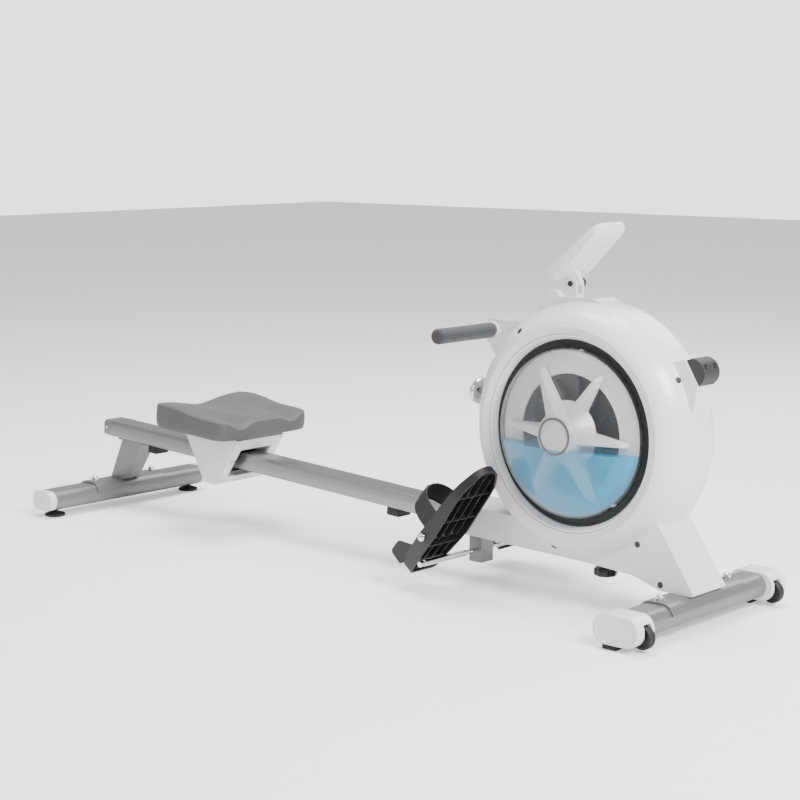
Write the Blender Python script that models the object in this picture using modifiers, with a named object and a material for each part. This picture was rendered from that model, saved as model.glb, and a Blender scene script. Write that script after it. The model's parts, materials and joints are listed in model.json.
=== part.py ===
"""Indoor rowing machine with a twin water tank, a sliding seat and pivoting footrests.

Metres, +Z up, +X towards the tank end. The origin is on the floor, under the middle of the machine.
"""

import math

import bmesh
import bpy
from mathutils import Matrix, Vector

# ---------------------------------------------------------------- driving dimensions
OBJECT = "rowing_machine"
GAP = 0.0003                  # clearance between pieces that touch
SIDES = (("right", -1.0), ("left", 1.0))

# places along X, counted from the tank's axle (+ is forward)
REAR_REACH = 1.567            # to the tip of the rail's end cap
WHEEL_AHEAD = 0.297           # to the transport wheels' axles
FRONT_BAR_AHEAD = 0.256
REAR_BAR_BEHIND = 1.533
SEAT_BEHIND = 1.10
PEDAL_AXLE_BEHIND = 0.290
FOOT_ROD_BEHIND = 0.297
HANDLE_BEHIND = 0.243
REAR_STOP_BEHIND = 1.385
FRONT_STOP_BEHIND = 0.542
RAIL_FRONT_BEHIND = 0.200

# heights above the floor
AXLE_Z = 0.369
HANDLE_Z = 0.560
PEDAL_AXLE_Z = 0.130
FOOT_ROD_Z = 0.069
BAR_Z = 0.043
RAIL_Z = 0.1236               # rail's centre line, read under the tank's axle
RAIL_TILT = math.radians(2.9)

# rail
RAIL_WIDTH = 0.066
RAIL_HEIGHT = 0.040
RAIL_WALL = 0.003
RAIL_CAP_LENGTH = 0.022

# foot bars
BAR_WIDTH = 0.076
BAR_HEIGHT = 0.050
BAR_WALL = 0.0025
REAR_BAR_HALF = 0.245
REAR_CAP_LENGTH = 0.020
FRONT_BAR_HALF = 0.212
FRONT_CAP_LENGTH = 0.056
SADDLE_THICK = 0.004
REAR_SADDLE_HALF = 0.115
FRONT_SADDLE_HALF = 0.133
REAR_LEG_DEPTH = 0.076
REAR_LEG_WIDTH = 0.050
REAR_LEG_LEAN = 0.070
FOOT_SPREAD = 0.2247
FOOT_RADIUS = 0.026
WHEEL_RADIUS = 0.024
WHEEL_WIDTH = 0.018
WHEEL_SPREAD = 0.2335
WHEEL_LIFT = 0.006            # the wheels hang clear of the floor until it is tipped
PAD_THICK = 0.011

# housing and tank
HOUSING_RADIUS = 0.268
HOUSING_FACE = 0.088          # half thickness at the rim of the window
HOUSING_WALL = 0.004
FACE_LAND = 0.014
WINDOW_RADIUS = 0.205
TRIM_WIDTH = 0.012
SEAL_WIDTH = 0.0175
TRIM_BACK = 0.070
DOME_SEAT = 0.066
DOME_SHOULDER = 0.080
DOME_APEX = 0.138
DOME_WALL = 0.004
HUB_BASE_RADIUS = 0.069
HUB_TIP_RADIUS = 0.043
CUP_HOLE_RADIUS = 0.123
CUP_FACE = 0.079
CUP_BACK = 0.034
CUP_WALL = 0.003
BLADE_COUNT = 6
BLADE_RADIUS = 0.150
BLADE_THICK = 0.018
BLADE_PHASE = -0.05            # of a blade's pitch
SHAFT_RADIUS = 0.010
LEG_HALF = 0.058
CRADLE_HALF = 0.030

# pull strap
SPOOL_RADIUS = 0.034
SPOOL_HALF = 0.020
STRAP_WIDTH = 0.026
STRAP_THICK = 0.0016
ROLLER_RADIUS = 0.012
ROLLER_BEHIND = 0.196

# handle
GRIP_RADIUS = 0.0165
GRIP_START = 0.036
HANDLE_HALF = 0.217
HANDLE_BAR_RADIUS = 0.011
HUB_RADIUS = 0.0175

# seat
SEAT_WIDTH = 0.305
SEAT_DEPTH = 0.265
SEAT_SETBACK = 0.012
SEAT_THICK = 0.052
CARRIAGE_TOP = 0.062          # above the rail's centre line
CARRIAGE_BOTTOM = -0.061
CARRIAGE_TOP_HALF = 0.100
CARRIAGE_TIP_HALF = 0.022
CARRIAGE_HALF_WIDTH = 0.077
TUNNEL_HALF = 0.050
TUNNEL_TOP = 0.032
TUNNEL_BOTTOM = -0.042
PLATE_THICK = 0.006
TOP_ROLLER_RADIUS = 0.016
LOW_ROLLER_RADIUS = 0.010
TOP_ROLLER_SPACING = 0.084

# footrests
PEDAL_PITCH = math.radians(48.4)
PEDAL_Y = 0.1475
PEDAL_WIDTH = 0.115
PEDAL_HEEL = 0.101            # from the pivot back to the heel
PEDAL_LENGTH = 0.305
PEDAL_TOP = 0.011             # sole above the pivot
PEDAL_BOTTOM = -0.023
PEDAL_TOE_BOTTOM = -0.004
PEDAL_TAPER_START = 0.020
PEDAL_WALL = 0.005
PEDAL_SOLE = 0.006
EAR_HEIGHT = 0.034
PEDAL_SHAFT_RADIUS = 0.006
FOOT_ROD_RADIUS = 0.0045
FOOT_SLEEVE_RADIUS = 0.0065
FOOT_ROD_HALF = 0.205
FOOT_STRAP_RISE = 0.072
FOOT_STRAP_WIDTH = 0.050
FOOT_STRAP_AT = 0.040
FOOT_STRAP_THICK = 0.0030
BRACKET_HALF = 0.020
BRACKET_LENGTH = 0.035
BRACKET_LOW = 0.042

# console, knobs and bumper
CONSOLE_PITCH = math.radians(38.7)
CONSOLE_LENGTH = 0.174
CONSOLE_WIDTH = 0.104
CONSOLE_THICK = 0.030
CONSOLE_LIFT = 0.044
CONSOLE_PIVOT_BEHIND = 0.052
CONSOLE_PIVOT_RISE = 0.031      # above the housing's crown
POST_HALF = 0.013
POST_REAR = 0.032
POST_FRONT = 0.0145
POST_SINK = 0.011              # below the crown
DIAL_RADIUS = 0.030
DIAL_Y = -0.035
DIAL_RISE = math.radians(12.0)
BUMPER_WIDTH = 0.055
KNOB_RADIUS = 0.025
FRAME_KNOB_AHEAD = 0.039

# ---------------------------------------------------------------- values worked out from them
FRONT_REACH = WHEEL_AHEAD + WHEEL_RADIUS
BACK_REACH = max(REAR_REACH, REAR_BAR_BEHIND + BAR_WIDTH / 2 + SADDLE_THICK + GAP)
TANK_X = (BACK_REACH - FRONT_REACH) / 2
DOME_RADIUS = WINDOW_RADIUS - TRIM_WIDTH - SEAL_WIDTH
BAR_TOP = BAR_Z + BAR_HEIGHT / 2
HANDLE_POINT = Vector((TANK_X - HANDLE_BEHIND, 0.0, HANDLE_Z))
AXLE_POINT = Vector((TANK_X, 0.0, AXLE_Z))
CROWN_Z = AXLE_Z + HOUSING_RADIUS
CONSOLE_PIVOT_Z = CROWN_Z + CONSOLE_PIVOT_RISE
POST_FOOT_Z = CROWN_Z - POST_SINK
CONSOLE_POINT = Vector((TANK_X - CONSOLE_PIVOT_BEHIND, 0.0, CONSOLE_PIVOT_Z))


def rail_height(along):
    """Height of the rail's centre line, this far ahead of the tank's axle."""
    return RAIL_Z - math.tan(RAIL_TILT) * along


def rail_point(along, above=0.0):
    """A point on the rail's centre plane: along X from the axle, and square above the rail's axis."""
    base = Vector((TANK_X + along, 0.0, rail_height(along)))
    return base + above * Vector((math.sin(RAIL_TILT), 0.0, math.cos(RAIL_TILT)))


# ---------------------------------------------------------------- scene and helpers
for old in list(bpy.data.objects):
    bpy.data.objects.remove(old, do_unlink=True)

PARTS = bpy.data.collections.new(OBJECT)
CUTTERS = bpy.data.collections.new("cutters")
bpy.context.scene.collection.children.link(PARTS)
bpy.context.scene.collection.children.link(CUTTERS)

# local frames for outlines: columns are the outline's x, its y and its thickness
SIDE_VIEW = Matrix(((1, 0, 0), (0, 0, -1), (0, 1, 0))).to_4x4()
END_VIEW = Matrix(((0, 0, 1), (1, 0, 0), (0, 1, 0))).to_4x4()
TURN_ALONG_Y = Matrix.Rotation(math.radians(90), 4, "X")
ALONG_RAIL = Matrix.Rotation(RAIL_TILT, 4, "Y")


def material(name, color, roughness, metallic=0.0):
    """A Principled material of its own for one piece."""
    made = bpy.data.materials.new(name)
    made.use_nodes = True
    shader = made.node_tree.nodes["Principled BSDF"]
    shader.inputs["Base Color"].default_value = (*color, 1.0)
    shader.inputs["Roughness"].default_value = roughness
    shader.inputs["Metallic"].default_value = metallic
    made.diffuse_color = (*color, 1.0)
    return made


WHITE = ((0.86, 0.86, 0.87), 0.35)
GREY_TRIM = ((0.80, 0.80, 0.78), 0.4)
DARK_GREY = ((0.10, 0.10, 0.105), 0.7)
MID_GREY = ((0.22, 0.22, 0.23), 0.6)
BLACK = ((0.02, 0.02, 0.022), 0.5)
SILVER_PAINT = ((0.52, 0.52, 0.51), 0.4, 0.6)
ALUMINIUM = ((0.72, 0.72, 0.71), 0.25, 1.0)
CHROME = ((0.85, 0.85, 0.86), 0.08, 1.0)
CLEAR = ((0.80, 0.86, 0.88), 0.05)


def link(name, mesh, finish, smooth=False):
    """Puts a mesh into the scene as a named piece with its own material."""
    obj = bpy.data.objects.new(name, mesh)
    PARTS.objects.link(obj)
    obj.data.materials.clear()
    obj.data.materials.append(material(name, *finish))
    if smooth:
        mesh.shade_smooth()
        mesh.set_sharp_from_angle(angle=math.radians(35))
    return obj


def as_cutter(obj):
    """Moves a shape into the cutters' collection, unseen."""
    PARTS.objects.unlink(obj)
    CUTTERS.objects.link(obj)
    obj.hide_render = True
    obj.display_type = "WIRE"
    return obj


def combine(obj, other, operation):
    """Adds an exact Boolean modifier, with the other shape kept as a guide."""
    as_cutter(other)
    step = obj.modifiers.new(other.name, "BOOLEAN")
    step.operation = operation
    step.solver = "EXACT"
    step.object = other
    return obj


def cut(obj, *others):
    """Takes each of the other shapes away from an object."""
    for other in others:
        combine(obj, other, "DIFFERENCE")
    return obj


def join(obj, *others):
    """Unites an object with each of the other shapes."""
    for other in others:
        combine(obj, other, "UNION")
    return obj


def box(name, low, high, finish=BLACK):
    """A box between two corners."""
    bm = bmesh.new()
    bmesh.ops.create_cube(bm, size=1.0)
    size = [b - a for a, b in zip(low, high)]
    middle = [(a + b) / 2 for a, b in zip(low, high)]
    bmesh.ops.scale(bm, vec=size, verts=bm.verts)
    bmesh.ops.translate(bm, vec=middle, verts=bm.verts)
    mesh = bpy.data.meshes.new(name)
    bm.to_mesh(mesh)
    bm.free()
    return link(name, mesh, finish)


def rod(name, start, end, radius, finish=CHROME, sides=24, end_radius=None):
    """A cylinder or cone between two points."""
    start = Vector(start)
    end = Vector(end)
    bm = bmesh.new()
    tip = radius if end_radius is None else end_radius
    bmesh.ops.create_cone(bm, cap_ends=True, segments=sides, radius1=radius, radius2=tip,
                          depth=(end - start).length)
    turn = (end - start).to_track_quat("Z", "Y").to_matrix().to_4x4()
    bmesh.ops.transform(bm, matrix=Matrix.Translation((start + end) / 2) @ turn, verts=bm.verts)
    mesh = bpy.data.meshes.new(name)
    bm.to_mesh(mesh)
    bm.free()
    return link(name, mesh, finish, smooth=True)


def outline(name, loops, depth, place, finish=BLACK, smooth=False):
    """A flat outline of one or more closed loops, given a thickness and set in its place."""
    curve = bpy.data.curves.new(name, "CURVE")
    curve.dimensions = "2D"
    curve.fill_mode = "BOTH"
    curve.extrude = depth / 2
    for points in loops:
        spline = curve.splines.new("POLY")
        spline.points.add(len(points) - 1)
        for slot, point in zip(spline.points, points):
            slot.co = (point[0], point[1], 0.0, 1.0)
        spline.use_cyclic_u = True
    holder = bpy.data.objects.new(name + "_outline", curve)
    CUTTERS.objects.link(holder)
    bpy.context.view_layer.update()
    ready = holder.evaluated_get(bpy.context.evaluated_depsgraph_get())
    mesh = bpy.data.meshes.new_from_object(ready)
    bpy.data.objects.remove(holder)
    bm = bmesh.new()
    bm.from_mesh(mesh)
    bmesh.ops.remove_doubles(bm, verts=bm.verts, dist=0.00001)
    bmesh.ops.transform(bm, matrix=place, verts=bm.verts)
    bmesh.ops.recalc_face_normals(bm, faces=bm.faces)
    bm.to_mesh(mesh)
    bm.free()
    mesh.name = name
    return link(name, mesh, finish, smooth)


def turned(name, profile, centre, turn=TURN_ALONG_Y, finish=BLACK, steps=64, closed=False):
    """A turned shape. The profile is (radius, height along the axis), run down its outer side."""
    mesh = bpy.data.meshes.new(name)
    edges = [(i, i + 1) for i in range(len(profile) - 1)]
    if closed:
        edges.append((len(profile) - 1, 0))
    mesh.from_pydata([(r, 0.0, h) for r, h in profile], edges, [])
    obj = link(name, mesh, finish)
    spin = obj.modifiers.new("turn", "SCREW")
    spin.steps = steps
    spin.render_steps = steps
    spin.use_merge_vertices = True
    spin.merge_threshold = 0.00001
    spin.use_smooth_shade = True
    obj.matrix_world = Matrix.Translation(centre) @ turn
    return obj


def rounded(points, radius, steps=4):
    """An outline with each corner replaced by an arc. A corner may carry its own radius."""
    result = []
    count = len(points)
    for i, corner in enumerate(points):
        here = Vector(corner[:2])
        before = Vector(points[i - 1][:2])
        after = Vector(points[(i + 1) % count][:2])
        size = corner[2] if len(corner) > 2 else radius
        if size <= 0.0:
            result.append(tuple(here))
            continue
        one = (before - here).normalized()
        two = (after - here).normalized()
        angle = one.angle(two)
        reach = size / math.tan(angle / 2)
        reach = min(reach, (before - here).length * 0.49, (after - here).length * 0.49)
        size = reach * math.tan(angle / 2)
        centre = here + (one + two).normalized() * (size / math.sin(angle / 2))
        first = here + one * reach - centre
        last = here + two * reach - centre
        sweep = math.atan2(first.x * last.y - first.y * last.x, first.dot(last))
        for k in range(steps + 1):
            result.append(tuple(centre + Matrix.Rotation(sweep * k / steps, 2) @ first))
    return result


def rectangle(width, height, radius, steps=4, centre=(0.0, 0.0)):
    """A rounded rectangle about a centre."""
    half_w = width / 2
    half_h = height / 2
    corners = [(-half_w, -half_h), (half_w, -half_h), (half_w, half_h), (-half_w, half_h)]
    return rounded([(x + centre[0], y + centre[1]) for x, y in corners], radius, steps)


def strip(path, thickness):
    """The outline of a band of even thickness that follows a path."""
    points = [Vector(p) for p in path]
    upper = []
    lower = []
    for i, point in enumerate(points):
        run = points[min(i + 1, len(points) - 1)] - points[max(i - 1, 0)]
        square = Vector((-run.y, run.x)).normalized() * (thickness / 2)
        upper.append(tuple(point + square))
        lower.append(tuple(point - square))
    return upper + lower[::-1]


def side_place(y=0.0):
    """Places a side-view outline (x, z) so that its thickness is centred on y."""
    return Matrix.Translation((0.0, y, 0.0)) @ SIDE_VIEW


def mirrored(obj, name, finish):
    """A left-hand copy of a finished right-hand piece, as a mesh of its own."""
    bpy.context.view_layer.update()
    ready = obj.evaluated_get(bpy.context.evaluated_depsgraph_get())
    mesh = bpy.data.meshes.new_from_object(ready)
    bm = bmesh.new()
    bm.from_mesh(mesh)
    flip = Matrix.Diagonal((1.0, -1.0, 1.0, 1.0))
    bmesh.ops.transform(bm, matrix=flip @ obj.matrix_world, verts=bm.verts)
    bmesh.ops.reverse_faces(bm, faces=bm.faces)
    bm.to_mesh(mesh)
    bm.free()
    return link(name, mesh, finish)


def at_pivot(obj, point):
    """Moves an object's origin to its joint, and leaves its shape where it is."""
    bpy.context.view_layer.update()
    offset = obj.matrix_world.inverted() @ Vector(point)
    obj.data.transform(Matrix.Translation(-offset))
    obj.matrix_world = obj.matrix_world @ Matrix.Translation(offset)
    return obj


# ---------------------------------------------------------------- rail and rear support
def rail_frame(along, above=0.0):
    """A frame on the rail: x along it, y across, z square to it."""
    return Matrix.Translation(rail_point(along, above)) @ ALONG_RAIL


def build_rail():
    start = -REAR_REACH + RAIL_CAP_LENGTH
    length = (-RAIL_FRONT_BEHIND - start) / math.cos(RAIL_TILT)
    outer = rounded([(-RAIL_WIDTH / 2, -RAIL_HEIGHT / 2, 0.003), (RAIL_WIDTH / 2, -RAIL_HEIGHT / 2, 0.003),
                     (RAIL_WIDTH / 2, RAIL_HEIGHT / 2, 0.007), (-RAIL_WIDTH / 2, RAIL_HEIGHT / 2, 0.007)],
                    0.0, 3)
    inner = rectangle(RAIL_WIDTH - 2 * RAIL_WALL, RAIL_HEIGHT - 2 * RAIL_WALL, 0.003, 2)
    middle = (start - RAIL_FRONT_BEHIND) / 2
    rail = outline("main_rail", [outer, inner], length, rail_frame(middle) @ END_VIEW, ALUMINIUM, True)
    axle = pedal_axle_point()
    cut(rail, rod("rail_axle_hole", axle + Vector((0, -0.1, 0)), axle + Vector((0, 0.1, 0)),
                  PEDAL_SHAFT_RADIUS + 0.0006, sides=20))
    cap = outline("rail_end_cap", [rounded([(-RAIL_WIDTH / 2, -RAIL_HEIGHT / 2, 0.006),
                                            (RAIL_WIDTH / 2, -RAIL_HEIGHT / 2, 0.006),
                                            (RAIL_WIDTH / 2, RAIL_HEIGHT / 2, 0.010),
                                            (-RAIL_WIDTH / 2, RAIL_HEIGHT / 2, 0.010)], 0.0, 3)],
                  RAIL_CAP_LENGTH - GAP,
                  rail_frame(-REAR_REACH + RAIL_CAP_LENGTH / 2 - GAP / 2) @ END_VIEW, MID_GREY, True)
    soften = cap.modifiers.new("edges", "BEVEL")
    soften.width = 0.003
    soften.segments = 2
    soften.limit_method = "ANGLE"


def stop_block(name, along, length, drop):
    """A rubber-faced stop under the rail."""
    return outline(name, [rectangle(0.044, drop, 0.003, 2)], length,
                   rail_frame(-along, -RAIL_HEIGHT / 2 - GAP - drop / 2) @ END_VIEW, MID_GREY)


def bar_section(width, height, steps=7):
    """The flat-oval section of a foot bar."""
    return rectangle(width, height, height * 0.46, steps)


def bar_place(along, y):
    """Places a section (x, z) across the machine, centred on y."""
    return Matrix.Translation((TANK_X + along, y, BAR_Z)) @ SIDE_VIEW


def build_bar(name, along, half):
    loops = [bar_section(BAR_WIDTH, BAR_HEIGHT),
             bar_section(BAR_WIDTH - 2 * BAR_WALL, BAR_HEIGHT - 2 * BAR_WALL)]
    return outline(name, loops, 2 * half, bar_place(along, 0.0), SILVER_PAINT, True)


def build_saddle(name, along, half):
    """A plate that wraps the top of a foot bar."""
    outer = bar_section(BAR_WIDTH + 2 * (SADDLE_THICK + GAP), BAR_HEIGHT + 2 * (SADDLE_THICK + GAP))
    inner = bar_section(BAR_WIDTH + 2 * GAP, BAR_HEIGHT + 2 * GAP)
    plate = outline(name, [outer, inner], 2 * half, bar_place(along, 0.0), SILVER_PAINT)
    low = (TANK_X + along - BAR_WIDTH, -half - 0.01, BAR_Z - BAR_HEIGHT)
    high = (TANK_X + along + BAR_WIDTH, half + 0.01, BAR_Z + 0.006)
    return cut(plate, box(name + "_trim", low, high))


def build_rear_leg():
    bottom = BAR_TOP + GAP + SADDLE_THICK * 0.5
    top_along = -REAR_BAR_BEHIND + REAR_LEG_LEAN
    front = top_along + REAR_LEG_DEPTH / 2
    back = top_along - REAR_LEG_DEPTH / 2
    foot = -REAR_BAR_BEHIND + 0.018
    under = RAIL_HEIGHT / 2 / math.cos(RAIL_TILT) + GAP
    corners = [(TANK_X + foot - REAR_LEG_DEPTH / 2, bottom), (TANK_X + foot + REAR_LEG_DEPTH / 2 - 0.02, bottom),
               (TANK_X + front, rail_height(front) - under), (TANK_X + back, rail_height(back) - under)]
    leg = outline("rear_leg", [corners], REAR_LEG_WIDTH, side_place(), SILVER_PAINT)
    join(leg, build_saddle("rear_saddle", -REAR_BAR_BEHIND, REAR_SADDLE_HALF))
    flange = outline("rear_leg_flange", [[(TANK_X + back - 0.012, rail_height(back - 0.012) - under),
                                          (TANK_X + back - 0.012, rail_height(back - 0.012) - under - 0.004),
                                          (TANK_X + front + 0.012, rail_height(front + 0.012) - under - 0.004),
                                          (TANK_X + front + 0.012, rail_height(front + 0.012) - under)]],
                     RAIL_WIDTH - 0.006, side_place(), SILVER_PAINT)
    join(leg, flange)


def build_rear_support():
    build_bar("rear_foot_bar", -REAR_BAR_BEHIND, REAR_BAR_HALF)
    build_rear_leg()
    for side, sign in SIDES:
        cap = outline("rear_bar_cap_" + side, [bar_section(BAR_WIDTH, BAR_HEIGHT)], REAR_CAP_LENGTH - GAP,
                      bar_place(-REAR_BAR_BEHIND, sign * (REAR_BAR_HALF + GAP / 2 + REAR_CAP_LENGTH / 2)),
                      MID_GREY, True)
        soften = cap.modifiers.new("edges", "BEVEL")
        soften.width = 0.004
        soften.segments = 2
        soften.limit_method = "ANGLE"
        stem_top = BAR_Z - BAR_HEIGHT / 2 - GAP
        profile = [(0.0, stem_top), (0.006, stem_top), (0.006, 0.012), (FOOT_RADIUS * 0.6, 0.010),
                   (FOOT_RADIUS, 0.005), (FOOT_RADIUS, 0.0), (0.0, 0.0)]
        turned("levelling_foot_" + side, profile, (TANK_X - REAR_BAR_BEHIND, sign * FOOT_SPREAD, 0.0),
               Matrix.Identity(4), BLACK, 20)


# ---------------------------------------------------------------- front support
def build_front_support():
    build_bar("front_foot_bar", FRONT_BAR_AHEAD, FRONT_BAR_HALF)
    bar_x = TANK_X + FRONT_BAR_AHEAD
    cap_width = 0.106
    cap_height = 0.060
    cap_z = PAD_THICK + GAP + cap_height / 2
    wheel_x = TANK_X + WHEEL_AHEAD
    wheel_z = WHEEL_RADIUS + WHEEL_LIFT
    for side, sign in SIDES:
        middle = sign * (FRONT_BAR_HALF + GAP + FRONT_CAP_LENGTH / 2)
        cap = outline("front_cap_" + side, [rectangle(cap_width, cap_height, cap_height * 0.47, 7)],
                      FRONT_CAP_LENGTH, Matrix.Translation((bar_x, middle, cap_z)) @ SIDE_VIEW, WHITE, True)
        wheel_y = sign * WHEEL_SPREAD
        room = WHEEL_WIDTH / 2 + 0.003
        well = rod("wheel_well_" + side, (wheel_x, wheel_y - room, wheel_z), (wheel_x, wheel_y + room, wheel_z),
                   WHEEL_RADIUS + 0.004, sides=32)
        mouth = box("wheel_mouth_" + side, (wheel_x - 0.010, wheel_y - room, -0.01),
                    (wheel_x + 0.06, wheel_y + room, wheel_z + 0.012))
        cut(cap, well, mouth)
        pin_reach = WHEEL_WIDTH / 2 + 0.0025
        wheel = turned("transport_wheel_" + side,
                       [(0.0, pin_reach), (0.004, pin_reach), (0.004, WHEEL_WIDTH / 2),
                        (WHEEL_RADIUS - 0.004, WHEEL_WIDTH / 2), (WHEEL_RADIUS, WHEEL_WIDTH / 2 - 0.004),
                        (WHEEL_RADIUS, -WHEEL_WIDTH / 2 + 0.004), (WHEEL_RADIUS - 0.004, -WHEEL_WIDTH / 2),
                        (0.004, -WHEEL_WIDTH / 2), (0.004, -pin_reach), (0.0, -pin_reach)],
                       (wheel_x, wheel_y, wheel_z), finish=BLACK, steps=24)
        wheel.name = "transport_wheel_" + side
        box("front_pad_" + side, (bar_x - 0.034, middle - 0.022, 0.0), (bar_x - 0.002, middle + 0.022, PAD_THICK),
            BLACK)
    leg_in = LEG_HALF - HOUSING_WALL - 0.004
    top = Vector((TANK_X + 0.090, 0.185))
    foot_front = bar_x + 0.010
    foot_back = bar_x - 0.024
    base = BAR_TOP + GAP + SADDLE_THICK * 0.5
    shape = [(foot_back, base), (foot_front, base), (top.x + 0.040, top.y + 0.030), (top.x, top.y)]
    leg = outline("front_leg", [shape], 2 * leg_in - 0.05, side_place(), SILVER_PAINT)
    join(leg, build_saddle("front_saddle", FRONT_BAR_AHEAD, FRONT_SADDLE_HALF))


# ---------------------------------------------------------------- seat
def seat_frame(above=0.0, along=0.0):
    """The seat's frame, square to the rail."""
    return rail_frame(-SEAT_BEHIND, 0.0) @ Matrix.Translation((along, 0.0, above))


def build_seat():
    shell = outline("seat_carriage",
                    [rounded([(-CARRIAGE_TOP_HALF, CARRIAGE_TOP, 0.0), (-CARRIAGE_TIP_HALF, CARRIAGE_BOTTOM, 0.014),
                              (CARRIAGE_TIP_HALF, CARRIAGE_BOTTOM, 0.014), (CARRIAGE_TOP_HALF, CARRIAGE_TOP, 0.0)],
                             0.0, 4)],
                    2 * CARRIAGE_HALF_WIDTH, seat_frame() @ SIDE_VIEW, WHITE)
    reach = CARRIAGE_TOP_HALF + 0.02
    tunnel = box("carriage_tunnel", (-reach, -TUNNEL_HALF, TUNNEL_BOTTOM), (reach, TUNNEL_HALF, TUNNEL_TOP))
    room = box("carriage_room", (-0.062, -TUNNEL_HALF - 0.016, 0.0), (0.062, TUNNEL_HALF + 0.016, CARRIAGE_TOP + 0.01))
    for cutter in (tunnel, room):
        cutter.matrix_world = seat_frame()
    cut(shell, tunnel, room)
    at_pivot(shell, rail_point(-SEAT_BEHIND))
    base = CARRIAGE_TOP + GAP
    outline("seat_base_plate", [rectangle(0.196, 0.150, 0.012, 3)], PLATE_THICK,
            seat_frame(base + PLATE_THICK / 2), SILVER_PAINT)
    pad_base = base + PLATE_THICK + GAP
    pad = outline("seat_pad", [rectangle(SEAT_DEPTH, SEAT_WIDTH, 0.050, 6)], SEAT_THICK,
                  seat_frame(pad_base + SEAT_THICK / 2, -SEAT_SETBACK), MID_GREY, True)
    soften = pad.modifiers.new("edges", "BEVEL")
    soften.width = 0.010
    soften.segments = 2
    soften.limit_method = "ANGLE"
    soften.angle_limit = math.radians(40)
    turn = seat_frame() @ TURN_ALONG_Y
    for name, along in (("front", TOP_ROLLER_SPACING / 2), ("rear", -TOP_ROLLER_SPACING / 2)):
        seat_roller("seat_roller_" + name, along, RAIL_HEIGHT / 2 + GAP + TOP_ROLLER_RADIUS, TOP_ROLLER_RADIUS)
    seat_roller("seat_roller_lower", 0.0, -RAIL_HEIGHT / 2 - GAP - LOW_ROLLER_RADIUS, LOW_ROLLER_RADIUS)


def seat_roller(name, along, above, radius):
    """A grooved roller and its axle, lying across the rail."""
    half = TUNNEL_HALF - 0.004 if radius == LOW_ROLLER_RADIUS else TUNNEL_HALF + 0.012
    wide = RAIL_WIDTH / 2 - 0.002
    profile = [(0.0, half), (0.004, half), (0.004, wide), (radius - 0.0015, wide), (radius, wide - 0.0015),
               (radius, -wide + 0.0015), (radius - 0.0015, -wide), (0.004, -wide), (0.004, -half), (0.0, -half)]
    centre = seat_frame(above, along).translation
    return turned(name, profile, centre, finish=DARK_GREY, steps=20)


# ---------------------------------------------------------------- footrests
def pedal_axle_point():
    return Vector((TANK_X - PEDAL_AXLE_BEHIND, 0.0, PEDAL_AXLE_Z))


def pedal_frame(sign):
    """Footrest frame: x from heel to toe, y across, z square to the sole. Its origin is the pivot."""
    place = pedal_axle_point() + Vector((0.0, sign * PEDAL_Y, 0.0))
    return Matrix.Translation(place) @ Matrix.Rotation(-PEDAL_PITCH, 4, "Y")


def pedal_plan(inset=0.0):
    """The footrest seen square to its sole: narrow at the heel, broad and round at the toe."""
    heel = -PEDAL_HEEL + inset
    toe = PEDAL_LENGTH - PEDAL_HEEL - inset
    half = PEDAL_WIDTH / 2 - inset
    points = [(heel, -half * 0.74, 0.012), (heel + 0.10, -half, 0.12), (toe - 0.055, -half, 0.075),
              (toe, -half * 0.42, 0.038), (toe, half * 0.42, 0.038), (toe - 0.055, half, 0.075),
              (heel + 0.10, half, 0.12), (heel, half * 0.74, 0.012)]
    return rounded(points, 0.0, 4)


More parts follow.
